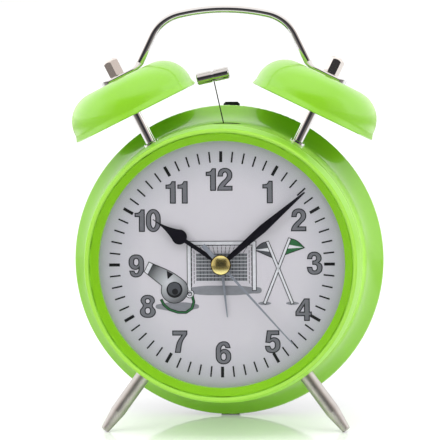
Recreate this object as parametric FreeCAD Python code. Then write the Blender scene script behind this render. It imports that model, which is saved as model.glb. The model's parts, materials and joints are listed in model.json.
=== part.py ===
import FreeCAD, Part
import math
import os

# Twin bell alarm clock with a battery movement, in millimetres.
# Every piece is drawn in the clock's own frame: x to the right, y back from the face of the dial,
# z up, origin at the middle of the dial. At the end the clock leans back onto its feet and its
# lug, and the origin goes to the middle of its footprint on the table.

V = FreeCAD.Vector

# Driving dimensions of the case
RIM_R = 60.0
LEAN = math.radians(7.8)
SHEET = 0.8
NECK_R = RIM_R - 9.5
DRUM_FRONT_R = RIM_R - 7.6
DRUM_FRONT_Y = 3.4
DRUM_TAPER = math.radians(2.2)
FLARE_SLOPE = math.radians(55.0)
FLARE_BEND_R = 14.5
FLARE_CORNER_Y = 28.45
BEAD_CORNER_Y = 33.4
DRUM_END = (59.2, 35.3)

# Front: bezel, lens, dial
BEZEL_SHEET = 0.5
OPENING_R = 46.2
LENS_R = 49.3
LENS_FRONT_Y = -6.5
LEDGE_Y = -5.55
CREST_Y = -6.9
DIAL_R = 48.6
DIAL_T = 0.5
CARRIER_R = 49.6
CARRIER_BACK_Y = 2.5
BUSH_HOLE_R = 3.4

# Bells, posts and handle
MID_Y = 18.0
TOP_TURN = 4.65
TOP_LEAN = 1.54
TOP_PIVOT_Z = 50.0
BELL_X = 33.55
BELL_Z = 57.2
BELL_TILT = math.radians(26.2)
BELL_RIM_R = 25.25
BELL_WALL_R = 24.5
BELL_H = 14.2
BELL_KNEE_H = 2.0
BELL_KNEE_BEND_R = 3.0
BELL_SHEET = 1.0
BELL_BEND_R = 11.4
POST_R = 2.0
STUD_R = 1.45
STUD_HOLE_R = 1.6
NUT_FLATS = 5.5
NUT_H = 2.4
WASHER_R = 3.1
WASHER_T = 0.9
CAP_NUT_H = 6.8
CAP_BORE_H = 4.8
HANDLE_R = 1.6
HANDLE_FOOT_T = 1.6
HANDLE_FOOT_W = 6.8
HANDLE_FOOT_OUT = 6.8
HANDLE_FOOT_IN = 7.95
SHOULDER = (24.05, 92.8)
SHOULDER_R = 15.6
CROWN_Z = 98.1
CROWN_R = 75.7
HANDLE_BEND_R = 6.5
FLATTENING = (0, 0.3, 0.65, 0.92, 1)

# Hammer
PIVOT_X = 1.0
PIVOT_Z = 47.0
HAMMER_LEAN = math.radians(12.3)
HAMMER_SWING = math.radians(19.8)
HAMMER_REACH = 24.46
HEAD_R = 2.3
HEAD_L = 12.4
WIRE_R = 0.22
WIRE_START = 1.5
SLOT_HALF = (5.6, 4.8)
SLOT_Y = 17.0
PIN_R = 0.75
TAIL_HALF_W = 2.0
TAIL_END = 7.5
MAGNET_H = 2.1
BRACKET_T = 0.8
COIL_TOP = 38.0
COIL_R = 3.7
CORE_R = 1.8
BOBBIN_R = 2.4
BOBBIN_T = 0.8
SCREW_R = 0.95
BRACKET_Z = 29.0
BRACKET_Y = (13.0, 23.0)

# Feet
FOOT_ANGLE = math.radians(36.0)
FOOT_Y = 10.0
FOOT_R = 2.8
FOOT_CONE_START = 69.4
FOOT_END = 78.3
FOOT_TIP_R = 1.6

# Movement
BEARING_R = 0.3
ARBOR_R = 0.25
ARBOR_Y = (8.2, 13.4)
SECONDS_ARBOR_R = 0.45
ARBOR_FRONT_Y = -4.0
SETTING_ARBOR_R = 1.0
SETTING_PIVOT_R = 0.5
SETTING_PIVOT_Y = 3.0
SETTING_END_Y = 48.0
KNOB_R = 5.8
KNOB_Y = (44.6, 49.4)
MINUTE_PIPE_R = 1.1
HOUR_PIPE_R = 1.7
ALARM_PIPE_R = 2.3
RUNNING_GAP = 0.05
STATOR_Y = (9.4, 10.2)
HALF_BOX = 30.0
REAR_HALF = 29.0
WALL = 1.5
FRONT_BACK_Y = 12.7
PLATE_BACK_Y = 14.2
PANEL_Y = (41.4, 42.9)
MIDDLE_PLATE_Y = (8.0, 8.8)
SETTING_X = 10.4
SETTING_Z = 6.0
THIRD_Z = -8.5
INTERMEDIATE_Z = 8.4
ROTOR_ANGLE = math.radians(30.0)
ROTOR = (8.4 * math.sin(ROTOR_ANGLE), INTERMEDIATE_Z + 8.4 * math.cos(ROTOR_ANGLE))
COIL_Z = 24.0
STATOR_HALF_H = 1.2
BATTERY_Y = 33.6
BATTERY_Z = -19.0
BATTERY_R = 7.1
BATTERY_L = 49.5
BATTERY_START = -25.2
BAY = (-27.5, 27.5, 25.8, 41.4, -27.5, -10.8)
DOOR_Y = (41.8, 42.9)

# Rear cover and its controls
FLANGE_R = RIM_R - 0.4
FLANGE_Y = (35.3, 36.5)
COVER_R = 57.5
COVER_WALL = 1.6
COVER_BACK_Y = 41.5
WINDOW = 29.4
BOSS_RADIUS = 44.0
BOSS_FRONT_Y = 6.2
SCREW_SEAT_Y = 12.0
COVER_SCREW_R = 1.3
BUTTON_X = 1.3
BUTTON_W = 6.2
BUTTON_Y = (37.1, 40.3)
BUTTON_TOP = 61.3
BUTTON_FOOT_Z = 53.3
LUG_W = 7.0

# Hands: how far in front of the dial each one's front is, and where each points, in degrees
# clockwise from twelve
HAND_T = 0.3
ALARM_HAND_Y = -1.15
HOUR_HAND_Y = -1.95
MINUTE_HAND_Y = -2.75
SECOND_HAND_Y = -3.55
HOUR_AT = 303.8
MINUTE_AT = 49.4
SECOND_AT = 138.0
ALARM_AT = 174.0

# Gear teeth, as shares of the module and of the pitch
ADDENDUM = 0.78
DEDENDUM = 1.3
TOOTH_TIP = 0.11
TOOTH_ROOT = 0.27


# Helpers. A profile or path is drawn in the local x-y plane.

def bend_edges(points, radii):
    """Edges of an open path through points, its corners rounded by radii."""
    corners = [V(p[0], p[1], 0) for p in points]
    edges = []
    start = corners[0]
    for i in range(1, len(corners) - 1):
        radius = radii[i - 1]
        if radius == 0:
            edges.append(Part.LineSegment(start, corners[i]).toShape())
            start = corners[i]
            continue
        back = (corners[i - 1] - corners[i]).normalize()
        ahead = (corners[i + 1] - corners[i]).normalize()
        half_turn = (math.pi - back.getAngle(ahead)) / 2
        reach = radius * math.tan(half_turn)
        inward = (back + ahead).normalize()
        first = corners[i] + back * reach
        last = corners[i] + ahead * reach
        middle = corners[i] + inward * (radius / math.cos(half_turn) - radius)
        if (first - start).Length > 1e-6:
            edges.append(Part.LineSegment(start, first).toShape())
        edges.append(Part.Arc(first, middle, last).toShape())
        start = last
    if (corners[-1] - start).Length > 1e-6:
        edges.append(Part.LineSegment(start, corners[-1]).toShape())
    return edges


def sheet_face(points, radii, thickness):
    """A bent sheet seen from its end, with the metal on the left of the path."""
    wire = Part.Wire(bend_edges(points, radii))
    return wire.makeOffset2D(-thickness, 0, True, True, False)


def polygon_face(points):
    corners = [V(p[0], p[1], 0) for p in points]
    return Part.Face(Part.makePolygon(corners + corners[:1]))


def turned(face):
    """A profile of radius and station turned about the local y axis."""
    return face.revolve(V(0, 0, 0), V(0, 1, 0), 360)


def turned_points(points):
    return turned(polygon_face(points))


def placed(shape, base, axis):
    """Moves a local shape so that its y axis lies along axis, which is in the x-z plane."""
    along = V(axis[0], 0, axis[1])
    across = V(axis[1], 0, -axis[0])
    matrix = FreeCAD.Matrix(
        across.x, along.x, 0, base[0],
        across.y, along.y, -1, base[1],
        across.z, along.z, 0, base[2],
        0, 0, 0, 1)
    return shape.transformed(matrix)


def prism(face, y_front, y_back):
    """Extrudes a face drawn in x and z from y_front to y_back."""
    solid = face.extrude(V(0, 0, y_back - y_front))
    return placed(solid, (0, y_back, 0), (0, 1))


def slab(x0, x1, y0, y1, z0, z1):
    return Part.makeBox(x1 - x0, y1 - y0, z1 - z0, V(x0, y0, z0))


def disc(radius, y0, y1, x=0.0, z=0.0):
    return Part.makeCylinder(radius, y1 - y0, V(x, y0, z), V(0, 1, 0))


def pipe(outer, inner, y0, y1, x=0.0, z=0.0):
    return disc(outer, y0, y1, x, z).cut(disc(inner, y0 - 1, y1 + 1, x, z))


def joined(shapes):
    solid = shapes[0].fuse(shapes[1:])
    return solid.removeSplitter()


def mirrored(shape):
    return shape.mirror(V(0, 0, 0), V(1, 0, 0))


def bar(radius, station0, station1):
    """A round bar along the local y axis."""
    return Part.makeCylinder(radius, station1 - station0, V(0, station0, 0), V(0, 1, 0))


def hex_prism(flats, station0, station1, corner_toward_viewer):
    """A hexagonal bar along the local y axis."""
    radius = flats / 2 / math.cos(math.pi / 6)
    turn = math.pi / 2 if corner_toward_viewer else math.pi / 3
    corners = []
    for i in range(6):
        angle = turn + i * math.pi / 3
        corners.append(V(radius * math.cos(angle), station0, radius * math.sin(angle)))
    face = Part.Face(Part.makePolygon(corners + corners[:1]))
    return face.extrude(V(0, station1 - station0, 0))


def gear(teeth, module, y0, y1, centre, toward, gap=False):
    """A straight toothed wheel; toward is the point that a tooth, or a gap, faces."""
    pitch_r = teeth * module / 2
    tip_r = pitch_r + ADDENDUM * module
    root_r = pitch_r - DEDENDUM * module
    step = 2 * math.pi / teeth
    start = math.atan2(toward[1] - centre[1], toward[0] - centre[0])
    if gap:
        start += step / 2
    tooth = ((root_r, -TOOTH_ROOT), (tip_r, -TOOTH_TIP), (tip_r, TOOTH_TIP), (root_r, TOOTH_ROOT))
    points = []
    for i in range(teeth):
        middle = start + i * step
        for radius, share in tooth:
            angle = middle + share * step
            points.append((centre[0] + radius * math.cos(angle), centre[1] + radius * math.sin(angle)))
    return prism(polygon_face(points), y0, y1)


# Case

def drum_radius(y):
    """Outer radius of the drum in front of its flare."""
    return DRUM_FRONT_R + (y - DRUM_FRONT_Y) * math.tan(DRUM_TAPER)


def drum_path():
    flare_r = drum_radius(FLARE_CORNER_Y)
    bead_r = flare_r + (BEAD_CORNER_Y - FLARE_CORNER_Y) * math.tan(FLARE_SLOPE)
    points = [(NECK_R, -1.0), (NECK_R, DRUM_FRONT_Y), (DRUM_FRONT_R, DRUM_FRONT_Y),
              (flare_r, FLARE_CORNER_Y), (bead_r, BEAD_CORNER_Y), DRUM_END]
    return points, [0, SHEET, FLARE_BEND_R, 1.2]


def drum_core():
    """Everything inside the drum's outer surface, used to seat what stands on it."""
    surface = drum_path()[0][2:5]
    outline = [(0, DRUM_FRONT_Y)] + surface + [(0, BEAD_CORNER_Y)]
    edges = bend_edges(outline, [0, FLARE_BEND_R, 0])
    edges.append(Part.LineSegment(V(0, BEAD_CORNER_Y, 0), V(0, DRUM_FRONT_Y, 0)).toShape())
    return turned(Part.Face(Part.Wire(edges)))


def make_case_drum():
    points, radii = drum_path()
    drum = turned(sheet_face(points, radii, SHEET))
    cutters = [hammer_slot()]
    for side in (-1, 1):
        cutters.append(on_drum(bar(STUD_HOLE_R, -22, -8), side))
        cutters.append(placed(bar(STUD_HOLE_R, 48, 56), (0, FOOT_Y, 0), foot_axis(side)))
    return drum.cut(cutters)


def hammer_slot():
    """The oval hole in the top of the drum, where the hammer's wire comes out."""
    oval = Part.Ellipse(V(PIVOT_X, SLOT_Y, 45), *SLOT_HALF).toShape()
    return Part.Face(Part.Wire(oval)).extrude(V(0, 0, 15))


def make_bezel():
    points = [(OPENING_R, 0), (OPENING_R, -2.6), (48.7, LEDGE_Y), (49.4, LEDGE_Y), (49.4, CREST_Y),
              (50.75, CREST_Y), (DRUM_FRONT_R - 0.15, DRUM_FRONT_Y - 0.15)]
    return turned(sheet_face(points, [0.5, 0.3, 0, 0.6, 0.6], BEZEL_SHEET))


def make_lens():
    bevel = 0.2
    return turned_points([(0, LENS_FRONT_Y), (LENS_R - bevel, LENS_FRONT_Y), (LENS_R, LENS_FRONT_Y + bevel),
                          (LENS_R, LEDGE_Y), (0, LEDGE_Y)])


def make_dial():
    return pipe(DIAL_R, BUSH_HOLE_R, 0, DIAL_T)


def boss_places():
    """Where the three cover screws are, in x and z."""
    return [(BOSS_RADIUS, 0.0), (0.0, -BOSS_RADIUS), (-BOSS_RADIUS, 0.0)]


def make_dial_carrier():
    plate = disc(CARRIER_R, DIAL_T, CARRIER_BACK_Y)
    rib = pipe(49.2, 47.6, CARRIER_BACK_Y, 6.0)
    parts = [plate, rib]
    for x, z in boss_places():
        parts.append(disc(3.4, CARRIER_BACK_Y, BOSS_FRONT_Y, x, z))
        parts.append(slab(*carrier_web(x, z)))
    for side in (-1, 1):
        for z in (-12, 12):
            arm = slab(HALF_BOX + 0.1, HALF_BOX + 1.7, CARRIER_BACK_Y, 13.9, z - 4, z + 4)
            nose = slab(REAR_HALF + 0.1, HALF_BOX + 0.1, FRONT_BACK_Y + 0.05, 13.9, z - 4, z + 4)
            hook = arm.fuse(nose)
            parts.append(hook if side > 0 else mirrored(hook))
    carrier = joined(parts)
    holes = [disc(BUSH_HOLE_R, 0, 4)]
    holes += [disc(COVER_SCREW_R, CARRIER_BACK_Y + 0.5, BOSS_FRONT_Y + 1, x, z) for x, z in boss_places()]
    return carrier.cut(holes)


def carrier_web(x, z):
    """A short web from a boss out to the carrier's rib."""
    outer = 48.0
    half = 0.6
    if abs(x) > abs(z):
        low, high = sorted((x, math.copysign(outer, x)))
        return low, high, CARRIER_BACK_Y, 5.5, z - half, z + half
    low, high = sorted((z, math.copysign(outer, z)))
    return x - half, x + half, CARRIER_BACK_Y, 5.5, low, high


# Bells, posts and handle

def bell_axis(side):
    """Middle of a bell's rim and the direction of its axis in x and z."""
    return (side * BELL_X, MID_Y, BELL_Z), (side * math.sin(BELL_TILT), math.cos(BELL_TILT))


def on_top(shape):
    """The bells and their handle stand turned a little on the case, square to the taper of its sheet."""
    shape = shape.copy()
    shape.rotate(V(0, MID_Y, TOP_PIVOT_Z), V(1, 0, 0), TOP_LEAN)
    shape.rotate(V(0, MID_Y, 0), V(0, 0, 1), TOP_TURN)
    return shape


def on_drum(shape, side):
    """Takes a piece drawn along a bell's axis, with the middle of its rim at zero, to the clock."""
    return on_top(placed(shape, *bell_axis(side)))


def make_bell(side):
    points = [(BELL_RIM_R, 0), (BELL_WALL_R, BELL_KNEE_H), (BELL_WALL_R, BELL_H), (STUD_HOLE_R, BELL_H)]
    bell = turned(sheet_face(points, [BELL_KNEE_BEND_R, BELL_BEND_R], BELL_SHEET))
    return on_drum(bell, side)


def station_at_radius(side, radius):
    """Where a post's axis is at a given distance from the clock's axis, below the bell's rim."""
    base, axis = bell_axis(side)
    along = base[0] * axis[0] + base[2] * axis[1]
    square = base[0] ** 2 + base[2] ** 2 - radius ** 2
    return -along + math.sqrt(along ** 2 - square)


def make_bell_post(side):
    foot = station_at_radius(side, drum_radius(MID_Y)) + WASHER_T
    low = foot - 6.5
    shoulder = BELL_H - BELL_SHEET
    top = BELL_H + HANDLE_FOOT_T + CAP_BORE_H
    profile = [(0, low), (STUD_R, low), (STUD_R, foot), (POST_R, foot), (POST_R, shoulder),
               (STUD_R, shoulder), (STUD_R, top), (0, top)]
    return on_drum(turned_points(profile), side)


def make_post_washers():
    core = drum_core()
    washers = []
    for side in (-1, 1):
        foot = station_at_radius(side, drum_radius(MID_Y)) + WASHER_T
        ring = turned_points([(STUD_R, foot - 2), (WASHER_R, foot - 2), (WASHER_R, foot - 0.25),
                              (WASHER_R - 0.3, foot), (STUD_R, foot)])
        washers.append(on_drum(ring, side).cut(core))
    return Part.makeCompound(washers)


def make_nut(flats, station0, station1):
    """A plain hexagonal nut with both ends chamfered, along the local y axis."""
    corner = flats / 2 / math.cos(math.pi / 6)
    chamfer = corner - flats / 2
    envelope = turned_points([(0, station0), (flats / 2, station0), (corner, station0 + chamfer),
                              (corner, station1 - chamfer), (flats / 2, station1), (0, station1)])
    hexagon = hex_prism(flats, station0, station1, True)
    return hexagon.common(envelope).cut(bar(STUD_R, station0 - 1, station1 + 1))


def make_post_nuts():
    nuts = []
    for side in (-1, 1):
        top = station_at_radius(side, drum_radius(MID_Y) - SHEET - 0.6)
        nuts.append(on_drum(make_nut(NUT_FLATS, top - NUT_H, top), side))
    return Part.makeCompound(nuts)


def handle_bend():
    """Where the right leg of the handle meets its flat foot, and the direction of the foot."""
    base, axis = bell_axis(1)
    height = BELL_H + HANDLE_FOOT_T / 2
    corner = (base[0] + height * axis[0] - HANDLE_FOOT_IN * axis[1],
              base[2] + height * axis[1] + HANDLE_FOOT_IN * axis[0])
    return corner, (axis[1], -axis[0])


def rod_pieces(edges):
    """Round bars along a chain of lines and arcs in the local x-y plane."""
    pieces = []
    for edge in edges:
        start = edge.valueAt(edge.FirstParameter)
        along = edge.tangentAt(edge.FirstParameter)
        end_face = Part.Face(Part.Wire(Part.makeCircle(HANDLE_R, start, along)))
        if isinstance(edge.Curve, Part.Circle):
            turn = math.degrees(edge.Length / edge.Curve.Radius)
            pieces.append(end_face.revolve(edge.Curve.Center, edge.Curve.Axis, turn))
        else:
            pieces.append(end_face.extrude(along * edge.Length))
    return pieces


def rod_section(place, along, flatness):
    """The outline of the handle's rod, pressed from a circle at 0 to its flat foot at 1."""
    def mix(round_value, flat_value):
        return round_value + (flat_value - round_value) * flatness
    half_t = mix(HANDLE_R, HANDLE_FOOT_T / 2)
    half_w = mix(HANDLE_R, HANDLE_FOOT_W / 2)
    corner_t = mix(HANDLE_R * math.sqrt(0.5), HANDLE_FOOT_T / 2)
    corner_w = mix(HANDLE_R * math.sqrt(0.5), (HANDLE_FOOT_W - HANDLE_FOOT_T) / 2)
    normal = V(-along.y, along.x, 0)

    def at(width, thickness):
        return place + normal * thickness + V(0, 0, width)
    corners = [at(-corner_w, corner_t), at(corner_w, corner_t),
               at(corner_w, -corner_t), at(-corner_w, -corner_t)]
    middles = [at(0, half_t), at(half_w, 0), at(0, -half_t), at(-half_w, 0)]
    edges = []
    for i, middle in enumerate(middles):
        first = corners[i]
        last = corners[(i + 1) % 4]
        if i % 2 == 0 and flatness == 1:
            edges.append(Part.LineSegment(first, last).toShape())
        else:
            edges.append(Part.Arc(first, middle, last).toShape())
    return Part.Wire(edges)


def handle_foot(bend, direction):
    """The right foot of the handle: the rod flattens round the bend and ends in a rounded tab."""
    sections = []
    steps = len(FLATTENING) - 1
    for i, flatness in enumerate(FLATTENING):
        at = bend.FirstParameter + (bend.LastParameter - bend.FirstParameter) * i / steps
        sections.append(rod_section(bend.valueAt(at), bend.tangentAt(at), flatness))
    transition = Part.makeLoft(sections, True)
    start = bend.valueAt(bend.LastParameter)
    along = V(direction[0], direction[1], 0)
    half = HANDLE_FOOT_W / 2
    corner, _ = handle_bend()
    end_centre = V(corner[0], corner[1], 0) + along * (HANDLE_FOOT_IN + HANDLE_FOOT_OUT - half)
    tab = Part.Face(sections[-1]).extrude(along * ((end_centre - start).Length + half))
    across = V(-along.y, along.x, 0)
    keep = Part.makeCylinder(half, 4, end_centre - across * 2, across)
    run = Part.makeBox(20, 4, HANDLE_FOOT_W, V(-20, -2, -half))
    run = run.transformed(FreeCAD.Matrix(
        along.x, across.x, 0, end_centre.x,
        along.y, across.y, 0, end_centre.y,
        0, 0, 1, 0,
        0, 0, 0, 1))
    return [transition, tab.common(keep.fuse(run))]


def make_handle():
    corner, direction = handle_bend()
    crown = (0, CROWN_Z)
    foot_end = (corner[0] + 10 * direction[0], corner[1] + 10 * direction[1])
    right = bend_edges([crown, SHOULDER, corner, foot_end], [SHOULDER_R, HANDLE_BEND_R])
    bend = right[3]
    leg_end = bend.valueAt(bend.FirstParameter)
    leg_end = (leg_end.x, leg_end.y)
    path = [(-leg_end[0], leg_end[1]), (-SHOULDER[0], SHOULDER[1]), crown, SHOULDER, leg_end]
    parts = rod_pieces(bend_edges(path, [SHOULDER_R, CROWN_R, SHOULDER_R]))
    foot = handle_foot(bend, direction)
    parts += foot + [mirrored(piece) for piece in foot]
    handle = placed(joined(parts), (0, MID_Y, 0), (0, 1))
    cutters = [placed(bar(STUD_HOLE_R, BELL_H - 3, BELL_H + 8), *bell_axis(side)) for side in (-1, 1)]
    return on_top(handle.cut(cutters))


def make_cap_nut(side):
    """A tall hexagonal nut with a shallow domed end and a blind thread."""
    start = BELL_H + HANDLE_FOOT_T
    end = start + CAP_NUT_H
    corner = NUT_FLATS / 2 / math.cos(math.pi / 6)
    envelope = turned_points([(0, start), (NUT_FLATS / 2, start), (corner, start + 0.4), (corner, end - 1.3),
                              (NUT_FLATS / 2 - 0.15, end - 0.7), (1.5, end), (0, end)])
    hexagon = hex_prism(NUT_FLATS, start, end, side < 0)
    bore = turned_points([(0, start - 1), (STUD_R, start - 1), (STUD_R, start + CAP_BORE_H),
                          (0, start + CAP_BORE_H + 0.8)])
    return on_drum(hexagon.common(envelope).cut(bore), side)


# Feet

def foot_axis(side):
    return side * math.sin(FOOT_ANGLE), -math.cos(FOOT_ANGLE)


def make_foot(side):
    nose = 0.8
    points = [(0, 46.4), (STUD_R, 46.4), (STUD_R, 51.5), (FOOT_R, 51.5), (FOOT_R, FOOT_CONE_START),
              (FOOT_TIP_R, FOOT_END), (0, FOOT_END)]
    edges = bend_edges(points, [0, 0, 0, 0, nose])
    edges.append(Part.LineSegment(V(0, FOOT_END, 0), V(0, 46.4, 0)).toShape())
    body = turned(Part.Face(Part.Wire(edges)))
    body = placed(body, (0, FOOT_Y, 0), foot_axis(side))
    core = drum_core()
    shank = turned_points([(0, 46.4), (STUD_R, 46.4), (STUD_R, 54), (0, 54)])
    shank = placed(shank, (0, FOOT_Y, 0), foot_axis(side))
    return joined([body.cut(core), shank])


def make_foot_nuts():
    top = drum_radius(FOOT_Y) - SHEET - 0.25
    nuts = []
    for side in (-1, 1):
        nuts.append(placed(make_nut(NUT_FLATS, top - NUT_H, top), (0, FOOT_Y, 0), foot_axis(side)))
    return Part.makeCompound(nuts)


# Hammer. Its pieces are drawn upright about the pivot, then leaned to where the hammer rests.

def leaned(shape):
    """Puts a hammer piece, drawn with its pivot at the origin, in its place on the clock."""
    return placed(shape, (PIVOT_X, MID_Y, PIVOT_Z), (-math.sin(HAMMER_LEAN), math.cos(HAMMER_LEAN)))


def make_hammer_head():
    half = HEAD_L / 2
    bevel = 0.3
    groove = 0.55
    neck = HEAD_R - 0.35
    points = [(0, -half), (HEAD_R - bevel, -half), (HEAD_R, -half + bevel), (HEAD_R, -groove),
              (neck, -groove), (neck, groove),
              (HEAD_R, groove), (HEAD_R, half - bevel), (HEAD_R - bevel, half), (0, half)]
    head = turned_points(points)
    head.rotate(V(0, 0, 0), V(0, 0, 1), 90)
    head.translate(V(0, HAMMER_REACH, 0))
    return leaned(head.cut(bar(WIRE_R, 0, HAMMER_REACH)))


def make_hammer_wire():
    return leaned(bar(WIRE_R, WIRE_START, HAMMER_REACH))


def make_hammer_hub():
    half = 4.1
    magnet_top = MAGNET_H - TAIL_END
    barrel = Part.makeCylinder(2.2, 2 * half, V(0, 0, -half), V(0, 0, 1))
    tail = Part.makeBox(2.4, -magnet_top, 4.0, V(-1.2, magnet_top, -2.0))
    hub = joined([barrel, bar(1.2, 0, 4.0), tail])
    bore = Part.makeCylinder(PIN_R + 0.04, 2 * half + 2, V(0, 0, -half - 1), V(0, 0, 1))
    return leaned(hub.cut([bore, bar(WIRE_R, WIRE_START, 6)]))


def make_hammer_magnet():
    return leaned(Part.makeBox(2 * TAIL_HALF_W, MAGNET_H, 6.0, V(-TAIL_HALF_W, -TAIL_END, -3.0)))


def make_hammer_pivot_pin():
    pin = disc(PIN_R, BRACKET_Y[0] - 0.5, BRACKET_Y[1] + 0.5, PIVOT_X, PIVOT_Z)
    head = disc(1.4, BRACKET_Y[0] - 1.1, BRACKET_Y[0] - 0.05, PIVOT_X, PIVOT_Z)
    return joined([pin, head])


def make_hammer_bracket():
    top = BRACKET_Z + BRACKET_T
    ear_r = 2.4
    ear_low = PIVOT_Z - 6
    half = 4.0
    parts = [slab(PIVOT_X - 9, PIVOT_X + 9, BRACKET_Y[0], BRACKET_Y[1], BRACKET_Z, top)]
    for y in (BRACKET_Y[0], BRACKET_Y[1] - BRACKET_T):
        parts.append(slab(PIVOT_X - half, PIVOT_X + half, y, y + BRACKET_T, top, ear_low))
        taper = polygon_face([(PIVOT_X - half, ear_low), (PIVOT_X + half, ear_low),
                              (PIVOT_X + ear_r, PIVOT_Z), (PIVOT_X - ear_r, PIVOT_Z)])
        parts.append(prism(taper, y, y + BRACKET_T))
        parts.append(disc(ear_r, y, y + BRACKET_T, PIVOT_X, PIVOT_Z))
    bracket = joined(parts)
    holes = [disc(PIN_R, BRACKET_Y[0] - 1, BRACKET_Y[1] + 1, PIVOT_X, PIVOT_Z),
             Part.makeCylinder(CORE_R, 4, V(PIVOT_X, MID_Y, BRACKET_Z - 1))]
    holes += [Part.makeCylinder(1.1, 4, V(x, MID_Y, BRACKET_Z - 1)) for x in bracket_screw_xs()]
    return bracket.cut(holes)


def bracket_screw_xs():
    return PIVOT_X - 7, PIVOT_X + 7


def make_bracket_screws():
    screws = []
    for x in bracket_screw_xs():
        seat = BRACKET_Z + BRACKET_T
        shank = Part.makeCylinder(SCREW_R, 6, V(x, MID_Y, seat - 5.5))
        head = Part.makeCone(1.8, 1.3, 1.2, V(x, MID_Y, seat))
        screws.append(joined([shank, head]))
    return Part.makeCompound(screws)


def make_coil_bobbin():
    low = BRACKET_Z + BRACKET_T
    flange = COIL_R + 0.3
    parts = [Part.makeCylinder(flange, BOBBIN_T, V(PIVOT_X, MID_Y, low)),
             Part.makeCylinder(BOBBIN_R, COIL_TOP - low, V(PIVOT_X, MID_Y, low)),
             Part.makeCylinder(flange, BOBBIN_T, V(PIVOT_X, MID_Y, COIL_TOP - BOBBIN_T))]
    # The two pegs stop the hammer's tail at each end of its swing.
    for tail_side, angle in ((1, -HAMMER_LEAN), (-1, HAMMER_SWING - HAMMER_LEAN)):
        corner_x = PIVOT_X + tail_side * TAIL_HALF_W * math.cos(angle) - TAIL_END * math.sin(angle)
        inner = corner_x + tail_side * 0.06
        low_x, high_x = sorted((inner, inner + tail_side * 1.1))
        parts.append(slab(low_x, high_x, MID_Y - 1.6, MID_Y + 1.6, COIL_TOP - BOBBIN_T, COIL_TOP + 2.6))
    bobbin = joined(parts)
    return bobbin.cut(Part.makeCylinder(CORE_R, 20, V(PIVOT_X, MID_Y, low - 1)))


def make_hammer_coil():
    low = BRACKET_Z + BRACKET_T + BOBBIN_T
    height = COIL_TOP - BOBBIN_T - low
    outer = Part.makeCylinder(COIL_R, height, V(PIVOT_X, MID_Y, low))
    return outer.cut(Part.makeCylinder(BOBBIN_R, height, V(PIVOT_X, MID_Y, low)))


def make_coil_core():
    return Part.makeCylinder(CORE_R, COIL_TOP + 0.5 - BRACKET_Z, V(PIVOT_X, MID_Y, BRACKET_Z))


# Movement housings

def make_movement_front_housing():
    shell = slab(-HALF_BOX, HALF_BOX, CARRIER_BACK_Y, FRONT_BACK_Y, -HALF_BOX, HALF_BOX)
    shell = shell.makeFillet(2.0, [e for e in shell.Edges if abs(e.tangentAt(0).y) > 0.9])
    inner = HALF_BOX - WALL
    shell = shell.cut(slab(-inner, inner, CARRIER_BACK_Y + WALL, 20, -inner, inner))
    bush = disc(3.3, 0, CARRIER_BACK_Y + WALL)
    posts = [disc(1.6, CARRIER_BACK_Y + WALL, MIDDLE_PLATE_Y[0], x, z) for x in (-20, 20) for z in (-17, 17)]
    housing = joined([shell, bush] + posts)
    bores = [disc(ALARM_PIPE_R + RUNNING_GAP, -1, 6)]
    pivot_r = SETTING_PIVOT_R + RUNNING_GAP
    for side in (-1, 1):
        bores.append(disc(pivot_r, CARRIER_BACK_Y + 0.3, 6, side * SETTING_X, SETTING_Z))
    return housing.cut(bores)


def make_middle_plate():
    plate = slab(-22, 22, MIDDLE_PLATE_Y[0], MIDDLE_PLATE_Y[1], -19, 19)
    plate = plate.makeFillet(3.0, [e for e in plate.Edges if abs(e.tangentAt(0).y) > 0.9])
    front = MIDDLE_PLATE_Y[0] - 1
    back = MIDDLE_PLATE_Y[1] + 1
    holes = [disc(MINUTE_PIPE_R + RUNNING_GAP, front, back)]
    holes += [disc(SETTING_ARBOR_R + 0.4, front, back, side * SETTING_X, SETTING_Z) for side in (-1, 1)]
    holes += [disc(BEARING_R, front, back, x, z) for x, z in ((0, THIRD_Z), (0, INTERMEDIATE_Z), ROTOR)]
    return plate.cut(holes)


def make_movement_rear_housing():
    panel_front, panel_back = PANEL_Y
    body = slab(-REAR_HALF, REAR_HALF, FRONT_BACK_Y, panel_back, -REAR_HALF, REAR_HALF)
    body = body.makeFillet(2.0, [e for e in body.Edges if abs(e.tangentAt(0).y) > 0.9])
    inner = REAR_HALF - WALL
    bay_x0, bay_x1, bay_floor, bay_back, bay_z0, bay_z1 = BAY
    shelf = bay_z1 + WALL
    hollows = [slab(-inner, inner, PLATE_BACK_Y, panel_front, shelf, inner),
               slab(-inner, inner, PLATE_BACK_Y, bay_floor - 1.2, -inner, shelf + 1),
               slab(bay_x0, bay_x1, bay_floor, panel_back + 1, bay_z0, bay_z1),
               slab(-28, REAR_HALF + 1, DOOR_Y[0] - 0.1, panel_back + 1, -28, -10)]
    body = body.cut(hollows)
    bosses = [Part.makeCylinder(2.2, 5.5, V(x, MID_Y, REAR_HALF - 6)) for x in bracket_screw_xs()]
    body = joined([body] + bosses)
    bores = [Part.makeCylinder(SCREW_R, 8, V(x, MID_Y, REAR_HALF - 5.2)) for x in bracket_screw_xs()]
    front = FRONT_BACK_Y - 1
    behind = PLATE_BACK_Y + 1.8
    bores.append(disc(SECONDS_ARBOR_R + RUNNING_GAP, front, behind))
    bores += [disc(BEARING_R, front, behind, x, z) for x, z in ((0, THIRD_Z), (0, INTERMEDIATE_Z), ROTOR)]
    for side in (-1, 1):
        bores.append(disc(SETTING_ARBOR_R + RUNNING_GAP, front, behind, side * SETTING_X, SETTING_Z))
        bores.append(disc(SETTING_ARBOR_R + 0.3, panel_front - 1, panel_back + 1,
                          side * SETTING_X, SETTING_Z))
    bores.append(slab(-22, -14.8, panel_front - 1, panel_back + 1, 16.2, 18.4))
    return body.cut(bores)


# Electric pieces

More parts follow.
